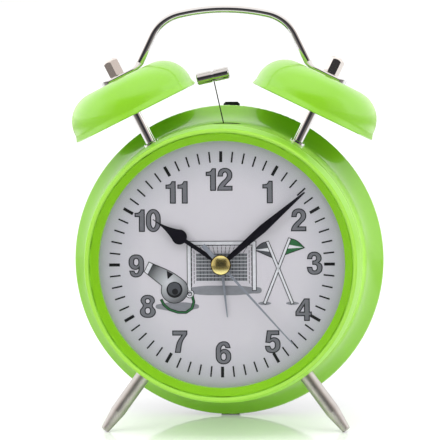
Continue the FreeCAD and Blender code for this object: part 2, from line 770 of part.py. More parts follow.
def make_circuit_board():
    board = slab(-21.5, -12.2, MIDDLE_PLATE_Y[1], MIDDLE_PLATE_Y[1] + 0.8, -14, 15)
    chip = Part.makeSphere(2.4, V(-16.5, MIDDLE_PLATE_Y[1] + 0.2, -6), V(0, 1, 0), 0, 90, 360)
    return Part.makeCompound([board, chip.cut(board)])


def make_quartz_crystal():
    return Part.makeCylinder(1.0, 6.0, V(-17, MIDDLE_PLATE_Y[1] + 1.8, 3))


def make_motor_stator():
    """The laminated stator: a bar through the coil, two arms down to the ring round the rotor."""
    low = COIL_Z - STATOR_HALF_H
    top = COIL_Z + STATOR_HALF_H
    rotor_x, rotor_z = ROTOR
    front, back = STATOR_Y
    core = slab(-9, 13, front, back, low, top)
    yoke = disc(4.2, front, back, *ROTOR)
    arms = []
    for side, outer, inner, reach in ((-1, -9, -5.5, 3.6), (1, 13, 9.7, 4.4)):
        arm = polygon_face([(outer, top), (outer, COIL_Z - reach), (rotor_x + side * 3, rotor_z - 2.5),
                            (rotor_x + side * 2.2, rotor_z + 2.6), (inner, COIL_Z - 3.2), (inner, top)])
        arms.append(prism(arm, front, back))
    stator = joined([core, yoke] + arms)
    return stator.cut(disc(2.4, front - 1, back + 1, *ROTOR))


def make_motor_coil():
    winding = Part.makeCylinder(2.7, 14.6, V(-5.2, sum(STATOR_Y) / 2, COIL_Z), V(1, 0, 0))
    return winding.cut(slab(-9, 13, *STATOR_Y, COIL_Z - STATOR_HALF_H, COIL_Z + STATOR_HALF_H))


def make_alarm_contact():
    leaf = slab(-20, -5.2, 6.32, 6.52, -3, -1)
    post = slab(-22.5, -20, 4.0, 8.0, -3.4, -0.6)
    return joined([leaf, post])


def make_battery():
    can = Part.makeCylinder(BATTERY_R, BATTERY_L, V(BATTERY_START, BATTERY_Y, BATTERY_Z), V(1, 0, 0))
    cap = Part.makeCylinder(2.7, 1.0, V(BATTERY_START + BATTERY_L, BATTERY_Y, BATTERY_Z), V(1, 0, 0))
    return joined([can, cap])


def make_battery_contacts():
    leaves = []
    for side, crown in ((-1, 25.25), (1, 25.35)):
        ends = [V(27.1, BATTERY_Z - 6.5, 0), V(crown + 0.3, BATTERY_Z, 0), V(27.1, BATTERY_Z + 6.5, 0)]
        inner = [V(p.x - 0.3, p.y, 0) for p in ends]
        edges = [Part.Arc(*ends).toShape(), Part.LineSegment(ends[2], inner[2]).toShape(),
                 Part.Arc(*reversed(inner)).toShape(), Part.LineSegment(inner[0], ends[0]).toShape()]
        leaf = prism(Part.Face(Part.Wire(edges)), BATTERY_Y - 3, BATTERY_Y + 3)
        plate = slab(26.95, 27.5, BATTERY_Y - 4, BATTERY_Y + 4, BATTERY_Z - 7, BATTERY_Z + 7)
        contact = joined([leaf, plate])
        leaves.append(contact if side > 0 else mirrored(contact))
    return Part.makeCompound(leaves)


def make_battery_door():
    door = slab(-27.9, REAR_HALF, DOOR_Y[0], DOOR_Y[1], -27.9, -10.1)
    ribs = [slab(x, x + 0.8, DOOR_Y[1], DOOR_Y[1] + 0.5, -24, -14) for x in (20, 22, 24)]
    return joined([door] + ribs)


# Wheels of the movement

def make_seconds_wheel():
    arbor = disc(SECONDS_ARBOR_R, ARBOR_FRONT_Y, ARBOR_Y[1])
    wheel = gear(40, 0.35, 10.0, 10.5, (0, 0), (0, INTERMEDIATE_Z))
    pinion = gear(8, 0.236, 10.8, 11.4, (0, 0), (0, THIRD_Z), True)
    hub = disc(0.9, 9.9, 10.8)
    return joined([arbor, wheel, pinion, hub])


def make_intermediate_wheel():
    place = (0, INTERMEDIATE_Z)
    pinion = gear(8, 0.35, 9.95, 10.6, place, (0, 0), True)
    wheel = gear(48, 0.3, 11.7, 12.1, place, ROTOR)
    arbor = disc(ARBOR_R, *ARBOR_Y, *place)
    body = disc(0.6, 10.6, 12.3, *place)
    return joined([pinion, wheel, arbor, body])


def make_motor_rotor():
    magnet = disc(2.0, 9.2, 11.2, *ROTOR)
    pinion = gear(8, 0.3, 11.6, 12.2, ROTOR, (0, INTERMEDIATE_Z), True)
    arbor = disc(ARBOR_R, *ARBOR_Y, *ROTOR)
    body = disc(0.6, 11.2, 11.6, *ROTOR)
    return joined([magnet, pinion, arbor, body])


def make_third_wheel():
    place = (0, THIRD_Z)
    pinion = gear(8, 0.25, 9.0, 9.7, place, (0, 0), True)
    wheel = gear(64, 0.236, 10.9, 11.3, place, (0, 0))
    arbor = disc(ARBOR_R, *ARBOR_Y, *place)
    body = disc(0.5, 9.7, 12.4, *place)
    return joined([pinion, wheel, arbor, body])


def make_centre_wheel():
    wheel = gear(60, 0.25, 9.1, 9.6, (0, 0), (0, THIRD_Z))
    return wheel.cut(disc(0.98, 8, 11))


def make_minute_pipe():
    tube = joined([disc(MINUTE_PIPE_R, MINUTE_HAND_Y, 9.0), disc(0.95, 9.0, 9.85)])
    pinion = gear(12, 0.5, 6.6, 7.7, (0, 0), (SETTING_X, SETTING_Z), True)
    return joined([tube, pinion]).cut(disc(SECONDS_ARBOR_R + RUNNING_GAP, -5, 12))


def make_minute_wheel():
    place = (SETTING_X, SETTING_Z)
    pinion = gear(10, 0.48, 5.3, 6.4, place, (0, 0), True)
    wheel = gear(36, 0.5, 6.9, 7.5, place, (0, 0))
    arbor = disc(SETTING_ARBOR_R, 4.4, SETTING_END_Y, *place)
    pivot = disc(SETTING_PIVOT_R, SETTING_PIVOT_Y, 4.4, *place)
    return joined([pinion, wheel, arbor, pivot])


def make_hour_wheel():
    wheel = gear(40, 0.48, 5.5, 6.2, (0, 0), (SETTING_X, SETTING_Z))
    tube = disc(HOUR_PIPE_R, HOUR_HAND_Y, 6.2)
    return joined([wheel, tube]).cut(disc(MINUTE_PIPE_R + RUNNING_GAP, -3, 8))


def make_alarm_wheel():
    wheel = gear(36, 0.5, 4.4, 5.1, (0, 0), (-SETTING_X, SETTING_Z))
    tube = disc(ALARM_PIPE_R, ALARM_HAND_Y, 5.1)
    return joined([wheel, tube]).cut(disc(HOUR_PIPE_R + RUNNING_GAP, -3, 8))


def make_alarm_set_arbor():
    place = (-SETTING_X, SETTING_Z)
    pinion = gear(12, 0.5, 4.3, 5.2, place, (0, 0), True)
    arbor = disc(SETTING_ARBOR_R, 4.3, SETTING_END_Y, *place)
    pivot = disc(SETTING_PIVOT_R, SETTING_PIVOT_Y, 4.4, *place)
    return joined([pinion, arbor, pivot])


def make_knob(side):
    """A ribbed setting knob with a dished end."""
    place = (side * SETTING_X, SETTING_Z)
    ribs = 20
    groove_r = KNOB_R - 0.35
    points = []
    for i in range(ribs):
        for radius, share in ((groove_r, 0.0), (groove_r, 0.3), (KNOB_R, 0.5), (KNOB_R, 0.8)):
            angle = (i + share) * 2 * math.pi / ribs
            points.append((place[0] + radius * math.cos(angle), place[1] + radius * math.sin(angle)))
    grip = prism(polygon_face(points), *KNOB_Y)
    neck = disc(3.2, KNOB_Y[0] - 1.2, KNOB_Y[0], *place)
    dish = disc(3.8, KNOB_Y[1] - 0.6, KNOB_Y[1] + 1, *place)
    bore = disc(SETTING_ARBOR_R, 42, SETTING_END_Y, *place)
    return joined([grip, neck]).cut([dish, bore])


# Hands, drawn pointing along the local y axis

def hand(faces, degrees, front, bore_r):
    """Turns a hand's faces clockwise from twelve, gives them their thickness and bores the hand."""
    pieces = []
    for face in faces:
        face = face.copy()
        face.rotate(V(0, 0, 0), V(0, 0, 1), -degrees)
        pieces.append(prism(face, front, front + HAND_T))
    return joined(pieces).cut(disc(bore_r, front - 1, front + HAND_T + 1))


def blade(half_widths):
    """A symmetrical blade from pairs of distance and half width."""
    right = [(half, distance) for distance, half in half_widths]
    left = [(-half, distance) for distance, half in reversed(half_widths)]
    return polygon_face(right + left)


def ring_face(radius):
    return Part.Face(Part.Wire(Part.makeCircle(radius)))


def make_hour_hand():
    stem = blade([(0, 0.85), (16.5, 0.75)])
    bulb = ring_face(2.85)
    bulb.translate(V(0, 18.8, 0))
    tip = 30.7
    right = Part.Arc(V(2.8, 19.4, 0), V(1.15, 23.6, 0), V(0.15, tip, 0)).toShape()
    left = Part.Arc(V(-0.15, tip, 0), V(-1.15, 23.6, 0), V(-2.8, 19.4, 0)).toShape()
    spike = Part.Face(Part.Wire([right, Part.LineSegment(V(0.15, tip, 0), V(-0.15, tip, 0)).toShape(), left,
                                 Part.LineSegment(V(-2.8, 19.4, 0), V(2.8, 19.4, 0)).toShape()]))
    return hand((stem, bulb, spike, ring_face(3.4)), HOUR_AT, HOUR_HAND_Y, HOUR_PIPE_R)


def make_minute_hand():
    faces = (blade([(0, 0.7), (20.5, 1.6), (41.3, 0.3)]), ring_face(3.1))
    return hand(faces, MINUTE_AT, MINUTE_HAND_Y, MINUTE_PIPE_R)


def make_second_hand():
    faces = (blade([(0, 0.5), (39.7, 0.22)]), blade([(-10.0, 0.85), (0, 0.85)]), ring_face(2.4))
    return hand(faces, SECOND_AT, SECOND_HAND_Y, SECONDS_ARBOR_R)


def make_alarm_hand():
    faces = (blade([(0, 0.65), (19.8, 0.2)]), ring_face(3.5))
    return hand(faces, ALARM_AT, ALARM_HAND_Y, ALARM_PIPE_R)


def make_hand_cap():
    """A domed button pressed on the end of the seconds arbor."""
    radius = 3.8
    front = -5.2
    back = SECOND_HAND_Y
    dome_r = 8.5
    dome = Part.makeSphere(dome_r, V(0, front + dome_r, 0))
    cap = disc(radius, front - 1, back).common(dome)
    return cap.cut(disc(SECONDS_ARBOR_R, ARBOR_FRONT_Y, back + 1))


# Rear cover and its controls

def make_rear_cover(lift):
    inner_r = COVER_R - COVER_WALL
    back = COVER_BACK_Y
    inside = back - COVER_WALL
    lip = FLANGE_Y[0] - 2.1
    lip_r = COVER_R - 0.1
    profile = [(0, inside), (inner_r - 1, inside), (inner_r, inside - 1), (inner_r, lip), (lip_r, lip),
               (lip_r, FLANGE_Y[0]), (FLANGE_R, FLANGE_Y[0]), (FLANGE_R, FLANGE_Y[1]),
               (COVER_R, FLANGE_Y[1]), (COVER_R, back - 1.2), (COVER_R - 1.2, back), (0, back)]
    shell = turned_points(profile)
    parts = [shell]
    for x, z in boss_places():
        parts.append(disc(4.0, BOSS_FRONT_Y, inside + 0.5, x, z))
    parts.append(slab(-LUG_W / 2, LUG_W / 2, FLANGE_Y[1] - 0.5, back - 0.2, -62.5, -COVER_R + 1.5))
    parts.append(slab(-12.6, -8.6, BUTTON_Y[0] + 0.2, inside + 0.5, 46.5, 51.6))
    cover = joined(parts)
    window = slab(-WINDOW, WINDOW, 30, 50, -WINDOW, WINDOW)
    cutters = [window, below_floor(lift)]
    for x, z in boss_places():
        cutters.append(disc(COVER_SCREW_R + 0.15, BOSS_FRONT_Y - 1, SCREW_SEAT_Y + 1, x, z))
        cutters.append(disc(2.9, SCREW_SEAT_Y, 50, x, z))
    clearance = 0.1
    cutters.append(slab(BUTTON_X - BUTTON_W / 2 - clearance, BUTTON_X + BUTTON_W / 2 + clearance,
                        BUTTON_Y[0] - clearance, BUTTON_Y[1] - 0.5, 50, 60))
    return cover.cut(cutters)


def below_floor(lift):
    """The space under the table's plane, in the clock's frame."""
    def level(y):
        return (y * math.sin(LEAN) - lift) / math.cos(LEAN)
    side = [V(-40, y, z) for y, z in ((20, level(20)), (60, level(60)), (60, -90), (20, -90))]
    return Part.Face(Part.makePolygon(side + side[:1])).extrude(V(80, 0, 0))


def make_cover_screws():
    screws = []
    for x, z in boss_places():
        seat = SCREW_SEAT_Y
        shank = disc(COVER_SCREW_R, CARRIER_BACK_Y + 1.1, seat, x, z)
        head = turned_points([(0, seat), (2.5, seat), (2.5, seat + 1.0), (1.8, seat + 1.9), (0, seat + 1.9)])
        head.translate(V(x, 0, z))
        screws.append(joined([shank, head]))
    return Part.makeCompound(screws)


def make_snooze_button():
    left = BUTTON_X - BUTTON_W / 2
    right = BUTTON_X + BUTTON_W / 2
    bevel = 0.8
    corner_z = BUTTON_TOP - bevel
    back = BUTTON_Y[1] - 0.6
    outline = [(left, BUTTON_FOOT_Z), (right, BUTTON_FOOT_Z), (right, corner_z), (right - bevel, BUTTON_TOP),
               (left + bevel, BUTTON_TOP), (left, corner_z)]
    foot = slab(left - 1.1, right + 1.1, BUTTON_Y[0], back, BUTTON_FOOT_Z, BUTTON_FOOT_Z + 1.1)
    return joined([prism(polygon_face(outline), BUTTON_Y[0], back), foot])


def make_button_leaf():
    points = [(-12.4, 51.6), (-7.5, 51.6), (BUTTON_X - 2.5, 53.0), (BUTTON_X + 3.0, 53.0)]
    face = sheet_face(points, [3, 3], 0.25)
    return prism(face, BUTTON_Y[0] + 0.4, BUTTON_Y[1] - 1.0)


def make_alarm_switch():
    panel_front, panel_back = PANEL_Y
    front = panel_back + 0.15
    back = panel_back + 1.9
    knob = slab(-21.8, -18.0, front, back, 15.2, 19.4)
    ribs = [slab(x, x + 0.5, back, back + 0.4, 15.6, 19.0) for x in (-21.2, -20.15, -19.1)]
    stem = slab(-21.8, -19.2, panel_front - 1.2, front, 16.35, 18.25)
    foot = slab(-23.6, -17.4, panel_front - 1.35, panel_front - 0.15, 15.0, 19.6)
    return joined([knob, stem, foot] + ribs)


# The whole clock

def pieces(lift):
    """Every node of the clock by its name, in the clock's own frame."""
    return {
        "case_drum": make_case_drum(),
        "bezel": make_bezel(),
        "lens": make_lens(),
        "dial": make_dial(),
        "dial_carrier": make_dial_carrier(),
        "rear_cover": make_rear_cover(lift),
        "cover_screws": make_cover_screws(),
        "foot_left": make_foot(-1),
        "foot_right": make_foot(1),
        "foot_nuts": make_foot_nuts(),
        "bell_post_left": make_bell_post(-1),
        "bell_post_right": make_bell_post(1),
        "post_washers": make_post_washers(),
        "post_nuts": make_post_nuts(),
        "bell_left": make_bell(-1),
        "bell_right": make_bell(1),
        "handle": make_handle(),
        "cap_nut_left": make_cap_nut(-1),
        "cap_nut_right": make_cap_nut(1),
        "hammer_head": make_hammer_head(),
        "hammer_wire": make_hammer_wire(),
        "hammer_hub": make_hammer_hub(),
        "hammer_magnet": make_hammer_magnet(),
        "hammer_pivot_pin": make_hammer_pivot_pin(),
        "hammer_bracket": make_hammer_bracket(),
        "bracket_screws": make_bracket_screws(),
        "hammer_coil": make_hammer_coil(),
        "coil_bobbin": make_coil_bobbin(),
        "coil_core": make_coil_core(),
        "movement_front_housing": make_movement_front_housing(),
        "middle_plate": make_middle_plate(),
        "movement_rear_housing": make_movement_rear_housing(),
        "circuit_board": make_circuit_board(),
        "quartz_crystal": make_quartz_crystal(),
        "motor_stator": make_motor_stator(),
        "motor_coil": make_motor_coil(),
        "alarm_contact": make_alarm_contact(),
        "battery": make_battery(),
        "battery_contacts": make_battery_contacts(),
        "battery_door": make_battery_door(),
        "second_hand": make_second_hand(),
        "hand_cap": make_hand_cap(),
        "seconds_wheel": make_seconds_wheel(),
        "intermediate_wheel": make_intermediate_wheel(),
        "motor_rotor": make_motor_rotor(),
        "third_wheel": make_third_wheel(),
        "centre_wheel": make_centre_wheel(),
        "minute_hand": make_minute_hand(),
        "minute_pipe": make_minute_pipe(),
        "minute_wheel": make_minute_wheel(),
        "time_knob": make_knob(1),
        "hour_hand": make_hour_hand(),
        "hour_wheel": make_hour_wheel(),
        "alarm_hand": make_alarm_hand(),
        "alarm_wheel": make_alarm_wheel(),
        "alarm_set_arbor": make_alarm_set_arbor(),
        "alarm_knob": make_knob(-1),
        "snooze_button": make_snooze_button(),
        "button_leaf": make_button_leaf(),
        "alarm_switch": make_alarm_switch(),
    }


def leaned_back(shape):
    return shape.copy().rotate(V(0, 0, 0), V(1, 0, 0), -math.degrees(LEAN))


def resting_height():
    """How far the clock's axis origin is above the table: the feet's tips touch it."""
    return -leaned_back(make_foot(1)).optimalBoundingBox(True, False).ZMin


def footprint_middle(shapes):
    """The middle of the whole clock from front to back, once it leans."""
    boxes = [shape.optimalBoundingBox(True, False) for shape in shapes]
    return (min(box.YMin for box in boxes) + max(box.YMax for box in boxes)) / 2


def standing():
    """The leaning clock on its table, and the shift of the clock frame's origin."""
    lift = resting_height()
    leaning = {name: leaned_back(shape) for name, shape in pieces(lift).items()}
    shift = V(0, -footprint_middle(leaning.values()), lift)
    for shape in leaning.values():
        shape.translate(shift)
    return leaning, shift


def main():
    os.makedirs("parts", exist_ok=True)
    nodes, shift = standing()
    for name, shape in nodes.items():
        shape.exportStep("parts/" + name + ".step")
    print("nodes", len(nodes))
    print("origin shift", round(shift.y, 4), round(shift.z, 4))


if __name__ == "__main__":
    main()
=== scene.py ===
import json
import math

import bmesh
import bpy
from mathutils import Matrix, Vector


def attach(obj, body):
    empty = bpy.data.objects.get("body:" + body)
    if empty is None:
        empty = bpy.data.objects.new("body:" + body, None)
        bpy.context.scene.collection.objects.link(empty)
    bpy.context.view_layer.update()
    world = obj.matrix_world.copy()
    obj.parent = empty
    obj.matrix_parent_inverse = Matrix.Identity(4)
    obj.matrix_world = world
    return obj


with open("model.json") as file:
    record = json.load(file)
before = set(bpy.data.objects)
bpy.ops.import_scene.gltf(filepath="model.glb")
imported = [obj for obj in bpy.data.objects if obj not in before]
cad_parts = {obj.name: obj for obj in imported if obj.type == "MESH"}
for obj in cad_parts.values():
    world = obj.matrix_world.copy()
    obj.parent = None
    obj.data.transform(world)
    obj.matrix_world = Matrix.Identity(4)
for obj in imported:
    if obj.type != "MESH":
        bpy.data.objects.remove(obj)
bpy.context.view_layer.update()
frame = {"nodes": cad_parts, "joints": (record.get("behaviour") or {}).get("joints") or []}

# Twin bell alarm clock: the finish of every piece, the print on the dial, the marks at the rear, the
# studio and the camera. Sizes are millimetres in the clock's own frame, x to the right, y back from the
# dial's face, z up, and CLOCK takes them to the scene's metres. The lamps, the floor's half size and the
# camera's reach are metres in the scene.

# The clock's own frame, from the axis that its hands turn about, whose anchor lies behind the dial's face
HANDS = next(joint for joint in frame["joints"] if joint["name"] == "seconds")
HANDS_ANCHOR_BEHIND = 5.0
BACK = Vector(HANDS["axis"]).normalized()
RIGHT = Vector((1.0, 0.0, 0.0))
UP = RIGHT.cross(BACK)
MM = 0.001
DIAL_CENTRE = Vector(HANDS["pos_m"]) - BACK * HANDS_ANCHOR_BEHIND * MM
CLOCK = (Matrix.Translation(DIAL_CENTRE) @ Matrix((RIGHT, BACK, UP)).transposed().to_4x4()
         @ Matrix.Scale(MM, 4))

# Camera, from the rings of the case in the photograph
CAMERA_DISTANCE = 900.0
CAMERA_AZIMUTH = math.radians(4.72)
CAMERA_ELEVATION = math.radians(3.12)
CAMERA_ROLL = math.radians(-0.5)
CAMERA_TARGET = Vector((-0.47, 0.0, 16.67))
SENSOR = 36.0
IMAGE_SIZE = 440
FOCAL_PIXELS = 2406.0
REACH = 20.0

WHITE = (1.0, 1.0, 1.0, 1.0)

# Floor, and its two fades towards the photographer: the floor's own gloss, and the duller tone in which
# bright metal mirrors it. Each fade is the place behind the clock that it is measured from, the length that
# counts as 1, and the shares of it at which it starts and ends.
FLOOR_HALF = 2.0
FLOOR_COLOUR = (0.93, 0.93, 0.93, 1.0)
FLOOR_GLOW = 0.2
FLOOR_SPECULAR = 0.6
FLOOR_MIRRORED = (0.12, 0.11, 0.105, 1.0)
GLOSS_FADE = ((0.0, 2000.0, -65.0), 3000.0, 0.74, 0.87)
TONE_FADE = ((0.0, 200.0, -65.0), 600.0, 0.5, 0.7)

# Tent round the clock as gloss shows it: degrees to the right of the photographer's side, and the
# colour there
TENT_DULL = (0.70, 0.70, 0.70, 1.0)
TENT_SHADE = (0.32, 0.28, 0.26, 1.0)
TENT_GAP = (0.03, 0.03, 0.035, 1.0)
TENT_STOPS = ((-180, TENT_DULL), (-120, WHITE), (-74, WHITE), (-58, (0.62, 0.57, 0.55, 1.0)),
              (-36, TENT_SHADE), (-28, TENT_GAP), (24, TENT_GAP), (32, TENT_SHADE),
              (60, (0.48, 0.43, 0.41, 1.0)), (75, WHITE), (180, TENT_DULL))
TENT_GLOSS = 1.5
CEILING_FRONT = (0.74, 0.71, 0.70, 1.0)
CEILING_REAR = (0.95, 0.95, 0.95, 1.0)
# Upward share of the direction at which the tent's walls turn into its ceiling, and the backward share at
# which the ceiling's front turns into its rear
CEILING_STARTS = (0.52, 0.74)
REAR_STARTS = (0.1, 0.5)
AMBIENT_COLOUR = (0.98, 0.99, 1.0, 1.0)
AMBIENT_STRENGTH = 0.72

# Lamps: name, place, size and power
LAMPS = (("top_box", (0.0, -0.25, 1.1), (1.2, 0.9), 7.0),
         ("left_box", (-0.9, -0.45, 0.55), (0.6, 0.9), 2.2),
         ("right_box", (0.9, -0.35, 0.45), (0.6, 0.9), 2.2))
LAMP_TARGET = (0.0, 0.0, 0.08)

# Painted shade, near black, on the cut edge of the hammer's slot: its middle on top of the drum, and half
# its size in x and y
SLOT_MIDDLE = (1.0, 17.0, 45.0)
SLOT_SHADE_HALF = (5.85, 5.05)
SLOT_SHADE_COLOUR = (0.012, 0.014, 0.01, 1.0)

# Painted highlight on the bezel: what is added to its colour at each distance from the middle of its front
CREST_Y = -6.9
HIGHLIGHT_SPAN = 60.0
HIGHLIGHT_STOPS = [(at / HIGHLIGHT_SPAN, (red, green, blue, 1.0)) for at, red, green, blue in (
    (48.9, 0.0, 0.0, 0.0), (49.4, 0.11, 0.10, 0.07), (50.5, 0.11, 0.10, 0.07), (50.9, 0.0, 0.0, 0.0),
    (52.4, 0.0, 0.0, 0.0), (53.0, 0.12, 0.10, 0.07))]

# Painted shade on the dial, darker towards its edge under the bezel, given at shares of this radius
DIAL_SHADE_SPAN = 48.0

# The brass cap at the end of the hands: its radius, and the place on the axis that the painted dark
# reflection round its rim is measured from
CAP_RADIUS = 3.8
CAP_RIM_Y = -4.3

# Dial print; a numeral unit is a hundredth of a digit's height
TICKS = 60
TICK_OUTER = 42.36
TICK_INNER = 38.3
TICK_WIDTH = 0.6
BOLD_TICK_WIDTH = 1.15
NUMERAL_UNIT = 0.0805
NUMERAL_SPREAD = 1.05
# How far the dark border grows past the contour, and the fill shrinks within it
NUMERAL_BORDER = (0.2, -0.2)
NUMERAL_STEPS = 4
NUMERAL_AT = {
    "12": (-0.8, 31.8), "1": (17.3, 27.0), "2": (28.9, 16.5), "3": (34.8, 0.35), "4": (30.5, -17.0),
    "5": (18.9, -28.9), "6": (0.4, -33.1), "7": (-15.8, -28.9), "8": (-27.9, -15.6), "9": (-32.1, -0.4),
    "10": (-27.8, 16.6), "11": (-16.8, 27.1),
}
# Thickness of the ink, and the height from one layer of it to the next
INK = 0.012
LAYER_STEP = 1.6 * INK


# Materials

def srgb(red, green, blue):
    """A colour written as it looks, 0 to 255, as the shader's own numbers."""
    def linear(value):
        value /= 255.0
        return value / 12.92 if value <= 0.04045 else ((value + 0.055) / 1.055) ** 2.4
    return linear(red), linear(green), linear(blue), 1.0


def grey(value):
    return value, value, value, 1.0


class Tree:
    """A node tree and short ways to add to it. A source is a plain value or the output of a node."""

    def __init__(self, tree):
        self.tree = tree

    def feed(self, node, socket, source):
        if isinstance(source, bpy.types.NodeSocket):
            self.tree.links.new(source, node.inputs[socket])
        else:
            node.inputs[socket].default_value = source

    def add(self, kind, sources=None, **values):
        node = self.tree.nodes.new(kind)
        for key, value in values.items():
            setattr(node, key, value)
        for socket, source in (sources or {}).items():
            self.feed(node, socket, source)
        return node

    def math(self, operation, *sources):
        node = self.add("ShaderNodeMath", dict(enumerate(sources)), operation=operation)
        return node.outputs["Value"]

    def vector(self, operation, *sources, output="Value"):
        node = self.add("ShaderNodeVectorMath", dict(enumerate(sources)), operation=operation)
        return node.outputs[output]

    def mix(self, share, first, second, **values):
        """A mix of two colours."""
        node = self.add("ShaderNodeMix", data_type="RGBA", **values)
        for socket, source in ((0, share), (6, first), (7, second)):
            self.feed(node, socket, source)
        return node.outputs[2]

    def mix_shader(self, share, first, second):
        return self.add("ShaderNodeMixShader", {0: share, 1: first, 2: second}).outputs["Shader"]

    def ramp(self, source, stops):
        """The colour at a place on a ramp; stops are (position, colour), in rising order."""
        node = self.add("ShaderNodeValToRGB", {"Fac": source})
        elements = node.color_ramp.elements
        elements[0].position, elements[0].color = stops[0]
        elements[1].position, elements[1].color = stops[-1]
        for position, colour in stops[1:-1]:
            elements.new(position).color = colour
        return node.outputs["Color"]

    def spread(self, source, low, high):
        """Maps a pattern from 0..1 to low..high."""
        sources = {"Value": source, "To Min": low, "To Max": high}
        return self.add("ShaderNodeMapRange", sources).outputs["Result"]

    def rise(self, source, low, high, **values):
        """Maps a value from low..high to 0..1."""
        sources = {"Value": source, "From Min": low, "From Max": high}
        return self.add("ShaderNodeMapRange", sources, **values).outputs["Result"]


class Material(Tree):
    """A Principled material and short ways to add patterns to it."""

    def __init__(self, name, colour, roughness, metallic=0.0):
        self.material = bpy.data.materials.new(name)
        self.material.use_nodes = True
        super().__init__(self.material.node_tree)
        self.shader = self.tree.nodes["Principled BSDF"]
        self.set("Base Color", colour)
        self.set("Roughness", roughness)
        self.set("Metallic", metallic)
        self.colour = colour
        self.place = self.add("ShaderNodeTexCoord").outputs["Object"]

    def set(self, name, source):
        self.feed(self.shader, name, source)

    def show(self, surface):
        """Makes the output of a shader node the surface."""
        self.feed(self.tree.nodes["Material Output"], "Surface", surface)

    def painted_colour(self):
        """The output that the base colour comes from so far."""
        return self.shader.inputs["Base Color"].links[0].from_socket

    def noise(self, scale, detail, stretch=None):
        """Noise over the surface; scale is its number of features per metre."""
        source = self.place
        if stretch:
            source = self.add("ShaderNodeMapping", {"Vector": source, "Scale": stretch}).outputs["Vector"]
        sources = {"Vector": source, "Scale": scale, "Detail": detail}
        return self.add("ShaderNodeTexNoise", sources).outputs["Fac"]

    def vary_colour(self, source, darker, lighter):
        dark, light = (tuple(min(1.0, c * factor) for c in self.colour[:3]) + (1.0,)
                       for factor in (darker, lighter))
        self.set("Base Color", self.ramp(source, [(0.3, dark), (0.7, light)]))

    def vary_roughness(self, source, low, high):
        self.set("Roughness", self.spread(source, low, high))

    def bump(self, source, depth):
        """Relief of the given depth in metres."""
        relief = self.add("ShaderNodeBump", {"Height": source, "Distance": depth})
        self.set("Normal", relief.outputs["Normal"])

    def offset_from(self, place):
        """The way to the surface from a place in the clock's frame, in metres."""
        return self.vector("SUBTRACT", self.place, CLOCK @ Vector(place), output="Vector")

    def from_point(self, place, radius):
        """Distance from a place in the clock's frame, as 0 at the place and 1 at the radius."""
        return self.math("MULTIPLY", self.vector("LENGTH", self.offset_from(place)), 1.0 / (radius * MM))

    def above_oval(self, middle, half):
        """1 straight above an oval that lies level in the clock's frame, and 0 elsewhere."""
        offset = self.offset_from(middle)
        across, along = (self.vector("DOT_PRODUCT", offset, direction / (size * MM))
                         for direction, size in ((RIGHT, half[0]), (BACK, half[1])))
        level = self.add("ShaderNodeCombineXYZ", {"X": across, "Y": along}).outputs["Vector"]
        inside = self.math("LESS_THAN", self.vector("LENGTH", level), 1.0)
        above = self.math("GREATER_THAN", self.vector("DOT_PRODUCT", offset, UP), 0.0)
        return self.math("MULTIPLY", inside, above)


def lacquer(name, colour, sheen, coat):
    """Gloss paint with a pale sheen; the cut edge of the hammer's slot has none of it and is painted near
    black as shade.
    """
    paint = Material(name, colour, 0.32)
    paint.vary_colour(paint.noise(45.0, 3.0), 0.97, 1.03)
    paint.bump(paint.noise(1400.0, 1.0), 0.0000018)
    paint.set("Sheen Weight", 0.9)
    paint.set("Sheen Roughness", 0.42)
    paint.set("Sheen Tint", sheen)
    # Painted shade: the cut edge of the hammer's slot is near black and without coat
    slot_shade = paint.above_oval(SLOT_MIDDLE, SLOT_SHADE_HALF)
    paint.set("Base Color", paint.mix(slot_shade, paint.painted_colour(), SLOT_SHADE_COLOUR))
    paint.set("Coat Weight", paint.spread(slot_shade, coat, 0.0))
    paint.set("Specular IOR Level", coat / 2)
    paint.set("Coat Roughness", 0.05)
    paint.set("Coat IOR", 1.5)
    return paint


def bezel_lacquer():
    """The front ring's paint, with a pale painted highlight on the crest of the ring and where the ring
    meets the drum.
    """
    paint = lacquer("bezel_lacquer", srgb(136, 200, 28), srgb(170, 232, 80), 0.2)
    # Painted highlight: pale rings added on the crest and where the ring meets the drum
    rings = paint.ramp(paint.from_point((0.0, CREST_Y, 0.0), HIGHLIGHT_SPAN), HIGHLIGHT_STOPS)
    paint.set("Base Color", paint.mix(1.0, paint.painted_colour(), rings, blend_type="ADD"))
    return paint


def plated(name, colour, low, high):
    """Polished plating with fine polishing marks."""
    metal = Material(name, colour, (low + high) / 2, 1.0)
    metal.vary_roughness(metal.noise(900.0, 4.0), low, high)
    metal.bump(metal.noise(2250.0, 2.0), 0.000001)
    return metal.material


def brushed(name, colour, low, high):
    """Turned metal with fine rings along the height."""
    metal = Material(name, colour, (low + high) / 2, 1.0)
    rings = metal.noise(2600.0, 3.0, (0.06, 0.06, 1.0))
    metal.vary_roughness(rings, low, high)
    metal.vary_colour(metal.noise(220.0, 3.0), 0.88, 1.08)
    metal.bump(rings, 0.000004)
    return metal.material


def plastic(name, colour, roughness, grain=5200.0, depth=0.000008):
    """Moulded plastic with a fine grain; grain is its number of features per metre, depth is in metres."""
    moulded = Material(name, colour, roughness)
    moulded.vary_roughness(moulded.noise(300.0, 3.0), roughness * 0.9, roughness * 1.1)
    moulded.vary_colour(moulded.noise(90.0, 2.0), 0.94, 1.06)
    moulded.bump(moulded.noise(grain, 2.0), depth)
    return moulded.material


def painted(name, colour, roughness):
    """Thin paint or ink on card or sheet."""
    paint = Material(name, colour, roughness)
    paint.vary_colour(paint.noise(700.0, 3.0), 0.95, 1.05)
    paint.vary_roughness(paint.noise(1600.0, 2.0), roughness * 0.9, roughness * 1.1)
    return paint.material


